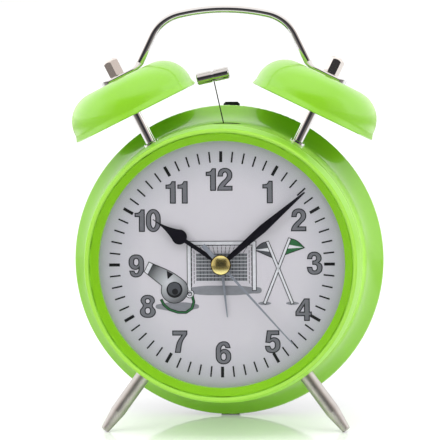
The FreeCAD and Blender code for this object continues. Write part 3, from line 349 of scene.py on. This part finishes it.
def dial_paper():
    """The dial's printed ground, with painted shade darkening it towards its edge."""
    centre = srgb(207, 202, 209)
    paper = Material("dial_paper", centre, 0.5)
    # Painted shade: the ground darkens towards the bezel
    ring = paper.ramp(paper.from_point((0.0, 0.0, 0.0), DIAL_SHADE_SPAN),
                      [(0.0, centre), (0.62, srgb(205, 200, 208)), (0.8, srgb(194, 190, 200)),
                       (1.0, srgb(177, 174, 185))])
    paper.set("Base Color", ring)
    paper.bump(paper.noise(3000.0, 3.0), 0.000003)
    return paper.material


def shaded_print(name, light, dark, centre, radius):
    """Ink that darkens away from a highlight."""
    ink = Material(name, light, 0.5)
    ink.set("Base Color", ink.ramp(ink.from_point(centre, radius), [(0.1, light), (1.0, dark)]))
    ink.bump(ink.noise(2500.0, 2.0), 0.000002)
    return ink.material


def lens_glass():
    """Flat clear glass: it lets light through, and its outer face mirrors a little of what is before it."""
    glass = Material("lens_glass", WHITE, 0.02)
    clear = glass.add("ShaderNodeBsdfTransparent", {"Color": (0.985, 0.99, 0.99, 1.0)}).outputs["BSDF"]
    gloss = glass.add("ShaderNodeBsdfGlossy", {"Roughness": 0.03}).outputs["BSDF"]
    fresnel = glass.add("ShaderNodeFresnel", {"IOR": 1.45}).outputs["Fac"]
    front = glass.math("SUBTRACT", 1.0, glass.add("ShaderNodeNewGeometry").outputs["Backfacing"])
    glass.show(glass.mix_shader(glass.math("MULTIPLY", fresnel, front), clear, gloss))
    glass.tree.nodes.remove(glass.shader)
    return glass.material


def cap_brass():
    """Polished brass, with a painted dark reflection round the rim of the cap."""
    gold = srgb(255, 238, 158)
    metal = Material("polished_brass", gold, 0.19, 1.0)
    metal.vary_roughness(metal.noise(900.0, 4.0), 0.17, 0.21)
    # Painted reflection: a dark band round the rim of the cap
    metal.set("Base Color", metal.ramp(metal.from_point((0.0, CAP_RIM_Y, 0.0), CAP_RADIUS),
                                       [(0.0, gold), (0.89, gold), (0.95, srgb(52, 40, 20))]))
    return metal.material


def wound_wire():
    """Enamelled copper wire, wound in turns up the coil."""
    wire = Material("wound_wire", srgb(184, 104, 58), 0.3, 1.0)
    turns = wire.add("ShaderNodeTexWave", {"Vector": wire.place, "Scale": 900.0}, bands_direction="Z")
    wire.bump(turns.outputs["Fac"], 0.00005)
    return wire.material


# The finish of each of the record's material slots
FINISH = {
    "green_paint": lacquer("lime_lacquer", srgb(133, 197, 26), srgb(184, 240, 100), 1.0).material,
    "clear_lens": lens_glass(),
    "printed_dial": dial_paper(),
    "black_plastic": plastic("black_abs", srgb(22, 22, 24), 0.42),
    "white_plastic": plastic("white_abs", srgb(226, 224, 216), 0.4),
    "chrome_steel": plated("chrome", (0.80, 0.79, 0.78, 1.0), 0.03, 0.06),
    "nickel_steel": brushed("nickel", srgb(208, 200, 193), 0.16, 0.30),
    "magnet_black": plastic("magnet_grey", srgb(52, 52, 56), 0.5),
    "copper_wire": wound_wire(),
    "board_green": plastic("circuit_board", srgb(20, 92, 48), 0.35),
    "battery_label": plated("battery_can", srgb(40, 92, 52), 0.25, 0.35),
    "hand_black": painted("hand_black", srgb(16, 13, 24), 0.32),
    "hand_grey": painted("hand_grey", srgb(132, 136, 146), 0.35),
    "cap_gold": cap_brass(),
}

# Nodes whose finish differs from that of the others in their slot
FOOT = brushed("foot_nickel", srgb(200, 194, 190), 0.30, 0.46)
POST = plated("post_chrome", (0.80, 0.78, 0.77, 1.0), 0.03, 0.06)
PANEL = plastic("panel_abs", srgb(26, 26, 28), 0.34, 2600.0, 0.000005)
KNOB = plastic("knob_abs", srgb(34, 34, 37), 0.28)
NUT = plated("nut_nickel", srgb(226, 218, 212), 0.10, 0.18)
HEAD = plated("head_nickel", (0.62, 0.60, 0.58, 1.0), 0.06, 0.12)
NODE_FINISH = {
    "bezel": bezel_lacquer().material, "hammer_head": HEAD, "cap_nut_left": NUT, "cap_nut_right": NUT,
    "hammer_wire": plated("spring_steel", srgb(92, 88, 84), 0.2, 0.3),
    "foot_left": FOOT, "foot_right": FOOT, "bell_post_left": POST, "bell_post_right": POST,
    "movement_rear_housing": PANEL, "battery_door": PANEL, "time_knob": KNOB, "alarm_knob": KNOB,
}
TICK_INK = painted("tick_ink", srgb(14, 14, 18), 0.45)
BORDER_INK = painted("border_ink", srgb(28, 28, 32), 0.45)
NUMERAL_INK = painted("numeral_ink", srgb(112, 112, 119), 0.45)


def finish_cad_nodes():
    """Gives every CAD node the finish of its slot, or its own."""
    for node in frame["nodes"].values():
        for slot in node.material_slots:
            name = slot.material.name.split(".")[0]
            slot.material = FINISH[name]
    for name, finish in NODE_FINISH.items():
        frame["nodes"][name].material_slots[0].material = finish


# Building pieces

OVAL_POINTS = 8
# Powers of an oval: a plain ellipse, and a fuller one
PLAIN = 2.0
FULL = 2.3
# Cosine of half a line's turn, below which its mitre grows no longer
MITRE_LIMIT = 0.3


def piece_from_mesh(name, mesh, material, body):
    """A piece of the scene that rides on a body."""
    piece = bpy.data.objects.new(name, mesh)
    bpy.context.scene.collection.objects.link(piece)
    mesh.materials.clear()
    mesh.materials.append(material)
    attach(piece, body)


def oval(cx, cy, rx, ry, power=PLAIN):
    """A rounded contour of smooth points."""
    ring = []
    for i in range(OVAL_POINTS):
        angle = 2 * math.pi * i / OVAL_POINTS
        cosine = math.cos(angle)
        sine = math.sin(angle)
        ring.append((cx + rx * math.copysign(abs(cosine) ** (2 / power), cosine),
                     cy + ry * math.copysign(abs(sine) ** (2 / power), sine), "o"))
    return ring


def filled(contours, thickness, grow=0.0, smooth_steps=6):
    """A flat sheet in the x-y plane, cut by its contours; a point with a third item is a smooth one."""
    curve = bpy.data.curves.new("contours", "CURVE")
    curve.dimensions = "2D"
    curve.fill_mode = "BOTH"
    curve.extrude = thickness / 2
    curve.offset = grow
    curve.resolution_u = smooth_steps
    for contour in contours:
        spline = curve.splines.new("BEZIER")
        spline.bezier_points.add(len(contour) - 1)
        spline.use_cyclic_u = True
        for point, corner in zip(spline.bezier_points, contour):
            point.co = (corner[0], corner[1], 0.0)
            kind = "AUTO" if len(corner) > 2 else "VECTOR"
            point.handle_left_type = kind
            point.handle_right_type = kind
    carrier = bpy.data.objects.new("contours", curve)
    bpy.context.scene.collection.objects.link(carrier)
    bpy.context.view_layer.update()
    mesh = bpy.data.meshes.new_from_object(carrier.evaluated_get(bpy.context.evaluated_depsgraph_get()))
    bpy.data.objects.remove(carrier)
    bpy.data.curves.remove(curve)
    mesh.transform(Matrix.Translation((0.0, 0.0, thickness / 2)))
    return mesh


def ribbon(points, width):
    """The outline of a line of the given width through points, with mitred corners."""
    left = []
    right = []
    places = [Vector(p) for p in points]
    for i, place in enumerate(places):
        before = (place - places[i - 1]).normalized() if i else None
        after = (places[i + 1] - place).normalized() if i < len(places) - 1 else None
        along = (before + after).normalized() if before and after else (before or after)
        half = width / 2
        if before and after:
            half /= max(MITRE_LIMIT, along.dot(before))
        side = Vector((-along.y, along.x)) * half
        left.append(tuple(place + side))
        right.append(tuple(place - side))
    return left + right[::-1]


def merged(meshes):
    """One mesh of several, which are removed."""
    shape = bmesh.new()
    for mesh in meshes:
        shape.from_mesh(mesh)
        bpy.data.meshes.remove(mesh)
    result = bpy.data.meshes.new("merged")
    shape.to_mesh(result)
    shape.free()
    return result


def on_dial(height):
    """Takes a drawing in x and z to the dial, at a height in front of its face."""
    upright = Matrix(((1, 0, 0, 0), (0, 0, -1, -height), (0, 1, 0, 0), (0, 0, 0, 1)))
    return CLOCK @ upright


def dial_print(name, meshes, material, layer):
    """Puts flat drawings on the dial; a higher layer lies over a lower one."""
    mesh = merged(meshes)
    mesh.transform(on_dial(layer * LAYER_STEP))
    piece_from_mesh(name, mesh, material, "clock")


# Dial

def make_ticks():
    """The minute ticks, each fifth one bold."""
    contours = []
    for i in range(TICKS):
        angle = 2 * math.pi * i / TICKS
        out = Vector((math.sin(angle), math.cos(angle)))
        width = TICK_WIDTH if i % 5 else BOLD_TICK_WIDTH
        contours.append(ribbon([out * TICK_INNER, out * TICK_OUTER], width))
    dial_print("minute_ticks", [filled(contours, INK)], TICK_INK, 0)


DIGIT_HEIGHT = 100
# From one digit's left edge to the next one's, and the width of a numeral's last digit
USUAL_ADVANCE = 72
ADVANCE = {"0": 68, "1": 53}
USUAL_WIDTH = 67
WIDTH = {"0": 62, "1": 44, "2": 64}
# Contours of the digits, from 0 up; a third item marks a smooth point, and a nine is a six turned round
SIX = [(63, 74), (55, 94, "o"), (34, 101.5, "o"), (9, 88, "o"), (1, 47, "o"), (9, 9, "o"), (34, -1.5, "o"),
       (58, 8, "o"), (66, 32, "o"), (58, 57, "o"), (38, 66, "o"), (27, 63, "o"), (21, 56), (24, 77, "o"),
       (34, 86, "o"), (41, 82, "o"), (44, 74)]
DIGITS = {
    "0": [oval(31, 50, 31, 51.5, FULL), oval(31, 50, 11.5, 35.5, FULL)],
    "1": [[(22, 0), (44, 0), (44, 100), (30, 100), (21, 87, "o"), (3, 84), (3, 69), (22, 69)]],
    "2": [[(0, 0), (64, 0), (64, 18), (29, 18), (45, 37, "o"), (59, 52, "o"), (64, 70, "o"), (56, 92, "o"),
           (33, 101.5, "o"), (10, 92, "o"), (2, 66), (22, 66), (24.5, 79, "o"), (33, 85, "o"), (41, 80, "o"),
           (43.5, 70, "o"), (39, 58, "o"), (18, 36, "o"), (4, 16, "o")]],
    "3": [[(2, 71), (9, 92, "o"), (32, 101.5, "o"), (54, 93, "o"), (62, 75, "o"), (59, 61, "o"), (50, 53),
           (62, 45, "o"), (66, 29, "o"), (58, 7, "o"), (33, -1.5, "o"), (9, 7, "o"), (1, 31), (21, 31),
           (25, 18, "o"), (33.5, 14.5, "o"), (42, 19, "o"), (45, 30, "o"), (41, 42, "o"), (25, 45), (25, 60),
           (38, 63, "o"), (41.5, 72, "o"), (39, 82, "o"), (31.5, 86, "o"), (24, 82, "o"), (21, 71)]],
    "4": [[(38, 0), (59, 0), (59, 22), (68, 22), (68, 39), (59, 39), (59, 100), (38, 100), (0, 41), (0, 22),
           (38, 22)], [(38, 39), (38, 74), (16, 39)]],
    "5": [[(10, 100), (61, 100), (61, 82), (27, 82), (24, 62), (38, 68, "o"), (59, 59, "o"), (66, 34, "o"),
           (57, 8, "o"), (32, -1.5, "o"), (8, 6, "o"), (1, 28), (21, 28), (25, 18, "o"), (33, 14.5, "o"),
           (42, 20, "o"), (45, 33, "o"), (42, 47, "o"), (33, 52, "o"), (21, 45), (3, 47)]],
    "6": [SIX, oval(34, 32, 11.5, 17.5, FULL)],
    "7": [[(0, 100), (63, 100), (63, 84), (43, 52, "o"), (33, 0), (11, 0), (21, 47, "o"), (42, 81),
           (0, 81)]],
    "8": [[(33, 101.5, "o"), (55, 94, "o"), (63, 75, "o"), (53, 54, "o"), (66.5, 28, "o"), (59, 7, "o"),
           (33, -1.5, "o"), (7, 7, "o"), (-0.5, 28, "o"), (13, 54, "o"), (3, 75, "o"), (11, 94, "o")],
          oval(33, 74.5, 10.5, 11.5, FULL), oval(33, 29.5, 12, 15, FULL)],
    "9": [[(USUAL_WIDTH - x, DIGIT_HEIGHT - y, *kind) for x, y, *kind in SIX],
          oval(33, 68, 11.5, 17.5, FULL)],
}


def numeral_meshes(text, middle, grow):
    """One numeral, centred on a place, grown or shrunk by its border."""
    starts = []
    run = 0.0
    for digit in text:
        starts.append(run)
        run += ADVANCE.get(digit, USUAL_ADVANCE)
    width = starts[-1] + WIDTH.get(text[-1], USUAL_WIDTH)
    unit = Matrix.Diagonal((NUMERAL_UNIT * NUMERAL_SPREAD, NUMERAL_UNIT, NUMERAL_UNIT, 1.0))
    meshes = []
    for digit, start in zip(text, starts):
        contours = [[(x + start - width / 2, y - DIGIT_HEIGHT / 2, *kind) for x, y, *kind in contour]
                    for contour in DIGITS[digit]]
        mesh = filled(contours, INK / NUMERAL_UNIT, grow / NUMERAL_UNIT, NUMERAL_STEPS)
        mesh.transform(Matrix.Translation((middle[0], middle[1], 0.0)) @ unit)
        meshes.append(mesh)
    return meshes


def make_numerals():
    """The hours, each a grey fill on a dark border."""
    borders = []
    fills = []
    for text, middle in NUMERAL_AT.items():
        borders += numeral_meshes(text, middle, NUMERAL_BORDER[0])
        fills += numeral_meshes(text, middle, NUMERAL_BORDER[1])
    dial_print("numeral_borders", borders, BORDER_INK, 1)
    dial_print("numerals", fills, NUMERAL_INK, 2)


# Drawing on the dial: a goal, a whistle and two corner flags

def mixed(a, b, share):
    """The point at a share of the way from a to b."""
    return tuple(p + (q - p) * share for p, q in zip(a, b))


def net_lines(corners, across, along, width):
    """The cords of a four-cornered panel of net, those that go across it and those that go along it."""
    low_left, low_right, top_right, top_left = corners
    rising = [ribbon([mixed(low_left, low_right, i / across), mixed(top_left, top_right, i / across)], width)
              for i in range(across + 1)]
    level = [ribbon([mixed(low_left, top_left, i / along), mixed(low_right, top_right, i / along)], width)
             for i in range(along + 1)]
    return rising, level


GOAL = ((-12.2, -9.6), (12.2, -9.6), (12.2, 8.0), (-12.2, 8.0))
GOAL_BACK = ((-9.4, -6.2), (9.4, -6.2), (9.4, 4.2), (-9.4, 4.2))
GOAL_BAR = 1.2
GOAL_SHADOW = (15.0, 1.8)
NET_CORD = 0.2
# Meshes of the net across the goal, up its back, and from front to back
NET_ACROSS = 14
NET_UP = 8
NET_DEEP = 3
OUTLINE = 0.27
WHISTLE_AT = (-17.8, -9.4)
WHISTLE_TURN = math.radians(-27.0)
WHISTLE_SCALE = 1.04
WHISTLE_CORD = 0.55
WHISTLE_SHADOW = (8.2, 1.6)
WHISTLE_FADE = 9.0
# Each flag's foot, the top of its pole, the way from there to the pennant's tip, and its ink
FLAGS = (((16.0, -14.6), (25.6, 9.6), (5.2, -3.4), "artwork_green"),
         ((26.4, -14.6), (17.2, 8.4), (-4.6, -3.0), "artwork_mid"))
FLAG_DEPTH = 6.6
FLAG_POLE = 0.8
FLAG_SHADOW = (2.4, 0.6)
FLAG_BELLY = Vector((0.0, 0.7))
ARTWORK_INKS = {
    "artwork_line": (20, 20, 24), "artwork_shadow": (132, 133, 140), "artwork_white": (214, 213, 219),
    "artwork_grey": (112, 114, 120), "artwork_mid": (78, 80, 86), "artwork_green": (40, 104, 58),
}


def goal_parts():
    """The goal seen from in front: its shadow, the cords of its net and its posts."""
    low_left, low_right, top_right, top_left = GOAL
    back_low_left, back_low_right, back_top_right, back_top_left = GOAL_BACK
    shadow = oval(0.0, low_left[1] - 0.1, *GOAL_SHADOW)
    rising = []
    level = []
    panels = ((GOAL_BACK, NET_ACROSS, NET_UP),
              ((back_top_left, back_top_right, top_right, top_left), NET_ACROSS, NET_DEEP),
              ((low_left, back_low_left, back_top_left, top_left), NET_DEEP, NET_UP),
              ((back_low_right, low_right, top_right, back_top_right), NET_DEEP, NET_UP))
    for corners, across, along in panels:
        up, flat = net_lines(corners, across, along, NET_CORD)
        rising += up
        level += flat
    return shadow, rising, level, ribbon([low_left, top_left, top_right, low_right], GOAL_BAR)


def whistle_parts():
    """A referee's whistle: body, window, lip, hub, its light, pea, ring and cord."""
    cosine = math.cos(WHISTLE_TURN) * WHISTLE_SCALE
    sine = math.sin(WHISTLE_TURN) * WHISTLE_SCALE

    def put(contour):
        return [(WHISTLE_AT[0] + x * cosine - y * sine, WHISTLE_AT[1] + x * sine + y * cosine, *kind)
                for x, y, *kind in contour]

    body = put([(0, 4.7, "o"), (3.4, 3.3, "o"), (4.7, 0, "o"), (3.3, -3.3, "o"), (0, -4.7, "o"),
                (-3.3, -3.4, "o"), (-4.7, -0.6), (-12.6, 1.0), (-12.6, 4.7)])
    window = put([(-5.6, 4.9), (-2.9, 4.9), (-3.9, 2.3)])
    lip = put([(-12.6, 1.0), (-11.2, 0.72), (-11.2, 4.7), (-12.6, 4.7)])
    hub = put(oval(0, 0, 2.9, 2.9))
    hub_light = put(oval(-0.2, 0.2, 2.3, 2.3))
    pea = put(oval(0.5, -0.5, 1.1, 1.1))
    ring = [put(oval(5.6, 1.2, 1.35, 1.35)), put(oval(5.6, 1.2, 0.85, 0.85))]
    cord = ribbon(put([(6.7, 1.0), (8.2, -0.8), (8.6, -3.2), (7.4, -5.4), (4.8, -6.7), (1.6, -7.2),
                       (-1.0, -6.6), (-2.6, -5.4)]), WHISTLE_CORD)
    return body, window, lip, hub, hub_light, pea, ring, cord


def make_artwork():
    """Draws each thing from its shadow up, and makes one piece of each ink on each layer."""
    inks = {name: painted(name, srgb(*colour), 0.45) for name, colour in ARTWORK_INKS.items()}
    drawn = {}

    def draw(ink, layer, contours, grow=0.0):
        drawn.setdefault((layer, ink), []).append(filled(contours, INK, grow))

    shadow, rising, level, posts = goal_parts()
    draw("artwork_shadow", 1, [shadow])
    draw("artwork_grey", 2, [list(GOAL_BACK)])
    for cord in rising:
        draw("artwork_line", 3, [cord])
    for cord in level:
        draw("artwork_white", 4, [cord])
    draw("artwork_line", 5, [posts], OUTLINE)
    draw("artwork_white", 6, [posts])

    body, window, lip, hub, hub_light, pea, ring, cord = whistle_parts()
    draw("artwork_shadow", 1, [oval(WHISTLE_AT[0] + 1.0, WHISTLE_AT[1] - 6.3, *WHISTLE_SHADOW)])
    draw("artwork_line", 4, [cord], OUTLINE)
    draw("artwork_green", 5, [cord])
    draw("artwork_line", 4, ring, OUTLINE)
    draw("artwork_white", 5, ring)
    draw("artwork_line", 6, [body], OUTLINE)
    for contour, ink, layer in ((window, "artwork_line", 8), (lip, "artwork_white", 8),
                                (hub, "artwork_line", 8), (hub_light, "artwork_mid", 9),
                                (pea, "artwork_line", 10)):
        draw(ink, layer, [contour])
    highlight = (WHISTLE_AT[0] - 2.0, 0.0, WHISTLE_AT[1] + 2.5)
    shading = shaded_print("whistle_grey", srgb(196, 197, 202), srgb(52, 54, 58), highlight, WHISTLE_FADE)
    dial_print("whistle_body", [filled([body], INK)], shading, 7)

    for foot, top, fly, ink in FLAGS:
        low = Vector(top) + (Vector(foot) - Vector(top)).normalized() * FLAG_DEPTH
        tip = Vector(top) + Vector(fly)
        belly = (Vector(top) + tip) / 2 + FLAG_BELLY
        pennant = [top, (belly.x, belly.y, "o"), tuple(tip), tuple(low)]
        stripe = [mixed(top, low, 0.36), mixed(top, tip, 0.98), mixed(top, low, 0.62)]
        pole = ribbon([foot, top], FLAG_POLE)
        draw("artwork_shadow", 1, [oval(*foot, *FLAG_SHADOW)])
        draw("artwork_line", 4, [pennant], OUTLINE)
        draw(ink, 5, [pennant])
        draw("artwork_white", 6, [stripe])
        draw("artwork_line", 7, [pole], OUTLINE)
        draw("artwork_white", 8, [pole])
    for (layer, ink), meshes in drawn.items():
        dial_print("%s_%d" % (ink, layer), meshes, inks[ink], layer)


# Marks at the rear, drawn in x and z as they are seen from behind

PANEL_BACK = 42.9
KNOB_AT = ((10.4, 6.0), (-10.4, 6.0))
SWITCH_AT = (18.4, 17.3)
MARK_LINE = 0.42
# Turn arrows over the knobs, with their angles in degrees from the right, and the arrows' heads
TURN_RADIUS = 7.8
TURN_FROM = 145.0
TURN_TO = 55.0
TURN_STEPS = 14
HEAD_HALF = 1.0
HEAD_LENGTH = 1.9
# Signs under the knobs and beside the switch, where a stroke through the bell means silence
KNOB_SIGN_BELOW = 10.6
KNOB_SIGN = 1.9
SWITCH_SIGN_BESIDE = 6.0
SWITCH_SIGN = 1.4
STRIKE_HALF = 2.0
# Arrow, plus and minus on the battery door
DOOR_MARKS_Z = -19.0
DOOR_ARROW_X = -12.5
DOOR_ARROW_HALF = 2.0
DOOR_ARROW_LENGTH = 4.0
PLUS_X = 16.8
MINUS_X = -0.4
POLE_HALF = 1.6


def on_back(mesh):
    """Takes a drawing to the panel at the rear."""
    upright = Matrix(((-1, 0, 0, 0), (0, 0, 1, PANEL_BACK + INK / 2), (0, 1, 0, 0), (0, 0, 0, 1)))
    mesh.transform(CLOCK @ upright)
    return mesh


def turn_arrow(middle):
    """A curved arrow over a knob."""
    angles = [math.radians(TURN_FROM + (TURN_TO - TURN_FROM) * i / TURN_STEPS)
              for i in range(TURN_STEPS + 1)]
    line = [(middle[0] + TURN_RADIUS * math.cos(a), middle[1] + TURN_RADIUS * math.sin(a)) for a in angles]
    last = Vector(line[-1])
    ahead = (last - Vector(line[-2])).normalized()
    side = Vector((-ahead.y, ahead.x)) * HEAD_HALF
    head = [tuple(last + side), tuple(last + ahead * HEAD_LENGTH), tuple(last - side)]
    return [ribbon(line, MARK_LINE)], [head]


def bell_mark(x, z, size):
    """A small bell: dome and rim, and clapper."""
    shape = [(-1.0, -0.62), (-0.72, -0.3, "o"), (-0.62, 0.35, "o"), (0.0, 0.95, "o"), (0.62, 0.35, "o"),
             (0.72, -0.3, "o"), (1.0, -0.62)]
    dome = [(x + across * size, z + up * size, *kind) for across, up, *kind in shape]
    return [dome], [oval(x, z - 0.9 * size, 0.24 * size, 0.22 * size)]


def clock_mark(x, z, size):
    """A ring with two hands."""
    ring = [oval(x, z, size, size), oval(x, z, size - MARK_LINE, size - MARK_LINE)]
    return ring, [ribbon([(x, z + size * 0.62), (x, z), (x + size * 0.48, z)], MARK_LINE)]


def make_rear_marks():
    """Turn arrows and signs at the knobs and the switch, and the marks on the battery door."""
    (bell_x, bell_z), (clock_x, clock_z) = KNOB_AT
    switch_x, switch_z = SWITCH_AT
    silent_x = switch_x - SWITCH_SIGN_BESIDE
    strike = [(silent_x + end * STRIKE_HALF, switch_z + end * STRIKE_HALF) for end in (-1, 1)]
    marks = [*turn_arrow(KNOB_AT[0]), *turn_arrow(KNOB_AT[1]),
             *bell_mark(bell_x, bell_z - KNOB_SIGN_BELOW, KNOB_SIGN),
             *clock_mark(clock_x, clock_z - KNOB_SIGN_BELOW, KNOB_SIGN),
             *bell_mark(switch_x + SWITCH_SIGN_BESIDE, switch_z, SWITCH_SIGN),
             *bell_mark(silent_x, switch_z, SWITCH_SIGN), [ribbon(strike, MARK_LINE)]]
    ink = painted("mark_ink", srgb(176, 176, 172), 0.5)
    mesh = on_back(merged([filled(contours, INK) for contours in marks]))
    piece_from_mesh("panel_marks", mesh, ink, "clock")

    def pole(x, across, up):
        return ribbon([(x - across, DOOR_MARKS_Z - up), (x + across, DOOR_MARKS_Z + up)], MARK_LINE)

    arrow = [(DOOR_ARROW_X, DOOR_MARKS_Z - DOOR_ARROW_HALF),
             (DOOR_ARROW_X - DOOR_ARROW_LENGTH, DOOR_MARKS_Z),
             (DOOR_ARROW_X, DOOR_MARKS_Z + DOOR_ARROW_HALF)]
    marks = (arrow, pole(PLUS_X, POLE_HALF, 0.0), pole(PLUS_X, 0.0, POLE_HALF),
             pole(MINUS_X, POLE_HALF, 0.0))
    mesh = on_back(merged([filled([contour], INK) for contour in marks]))
    piece_from_mesh("door_marks", mesh, ink, "battery_lid")


# Studio

def make_camera():
    """A camera at the photograph's place, turned about its own line of sight as the photograph is."""
    east = math.sin(CAMERA_AZIMUTH) * math.cos(CAMERA_ELEVATION)
    south = -math.cos(CAMERA_AZIMUTH) * math.cos(CAMERA_ELEVATION)
    place = Vector((east, south, math.sin(CAMERA_ELEVATION))) * CAMERA_DISTANCE
    ahead = (CAMERA_TARGET - place).normalized()
    right = ahead.cross(Vector((0.0, 0.0, 1.0))).normalized()
    up = right.cross(ahead)
    turned_right = right * math.cos(CAMERA_ROLL) + up * math.sin(CAMERA_ROLL)
    turned_up = turned_right.cross(ahead)
    axes = Matrix((turned_right, turned_up, -ahead)).transposed().to_4x4()
    data = bpy.data.cameras.new("camera")
    data.sensor_width = SENSOR
    data.lens = FOCAL_PIXELS / IMAGE_SIZE * SENSOR
    data.clip_end = REACH
    camera = bpy.data.objects.new("camera", data)
    bpy.context.scene.collection.objects.link(camera)
    turn = CLOCK.to_3x3().normalized().to_4x4()
    camera.matrix_world = Matrix.Translation(CLOCK @ place) @ turn @ axes
    bpy.context.scene.camera = camera


def make_floor():
    """A pale gloss floor, whose fades keep the tent's dark gap out of it and darken it in bright metal."""
    shape = bmesh.new()
    shape.faces.new([shape.verts.new((x * FLOOR_HALF, y * FLOOR_HALF, 0.0))
                     for x, y in ((-1, -1), (1, -1), (1, 1), (-1, 1))])
    mesh = bpy.data.meshes.new("floor")
    shape.to_mesh(mesh)
    shape.free()
    floor = bpy.data.objects.new("floor", mesh)
    bpy.context.scene.collection.objects.link(floor)

    sheet = Material("floor_gloss", FLOOR_COLOUR, 0.09)
    path = sheet.add("ShaderNodeLightPath").outputs
    place, span, start, end = GLOSS_FADE
    gloss = sheet.ramp(sheet.from_point(place, span), [(start, grey(FLOOR_SPECULAR)), (end, grey(0.0))])
    sheet.set("Specular IOR Level", gloss)
    place, span, start, end = TONE_FADE
    afar = sheet.ramp(sheet.from_point(place, span), [(start, grey(0.0)), (end, grey(1.0))])
    dull = sheet.math("MULTIPLY", afar, path["Is Glossy Ray"])
    sheet.set("Base Color", sheet.mix(dull, FLOOR_COLOUR, FLOOR_MIRRORED))
    seen = sheet.math("MAXIMUM", path["Is Camera Ray"], path["Is Diffuse Ray"])
    strength = sheet.math("MULTIPLY", seen, FLOOR_GLOW)
    glow = sheet.add("ShaderNodeEmission", {"Color": WHITE, "Strength": strength})
    both = sheet.add("ShaderNodeAddShader", {0: sheet.shader.outputs["BSDF"], 1: glow.outputs["Emission"]})
    sheet.show(both.outputs["Shader"])
    mesh.materials.append(sheet.material)


def make_world():
    """A pale tent all round; in front a dark gap for the photographer, which only gloss shows."""
    world = bpy.data.worlds.new("studio")
    bpy.context.scene.world = world
    world.use_nodes = True
    world.node_tree.nodes.clear()
    sky = Tree(world.node_tree)

    def background(colour, strength):
        return sky.add("ShaderNodeBackground", {"Color": colour, "Strength": strength}).outputs["Background"]

    direction = sky.add("ShaderNodeTexCoord").outputs["Generated"]
    parts = sky.add("ShaderNodeSeparateXYZ", {"Vector": direction}).outputs
    azimuth = sky.math("ARCTAN2", parts["X"], sky.math("MULTIPLY", parts["Y"], -1.0))
    around = sky.rise(azimuth, -math.pi, math.pi)
    walls = sky.ramp(around, [((degrees + 180) / 360, colour) for degrees, colour in TENT_STOPS])
    rear = sky.rise(parts["Y"], *REAR_STARTS, interpolation_type="SMOOTHSTEP")
    upper = sky.rise(parts["Z"], *CEILING_STARTS, interpolation_type="SMOOTHSTEP")
    tent = sky.mix(upper, walls, sky.mix(rear, CEILING_FRONT, CEILING_REAR))
    path = sky.add("ShaderNodeLightPath").outputs
    unseen = sky.mix_shader(path["Is Glossy Ray"], background(AMBIENT_COLOUR, AMBIENT_STRENGTH),
                            background(tent, TENT_GLOSS))
    direct = sky.math("MAXIMUM", path["Is Camera Ray"], path["Is Transmission Ray"])
    sky.add("ShaderNodeOutputWorld", {"Surface": sky.mix_shader(direct, unseen, background(WHITE, 1.0))})


def make_lamps():
    """Soft boxes, which gloss doesn't show."""
    for name, place, size, power in LAMPS:
        data = bpy.data.lights.new(name, "AREA")
        data.shape = "RECTANGLE"
        data.size, data.size_y = size
        data.energy = power
        lamp = bpy.data.objects.new(name, data)
        lamp.visible_glossy = False
        bpy.context.scene.collection.objects.link(lamp)
        lamp.location = place
        lamp.rotation_euler = (Vector(LAMP_TARGET) - Vector(place)).to_track_quat("-Z", "Y").to_euler()


finish_cad_nodes()
make_ticks()
make_numerals()
make_artwork()
make_rear_marks()
make_floor()
make_world()
make_lamps()
make_camera()
bpy.context.scene.view_settings.view_transform = "Standard"
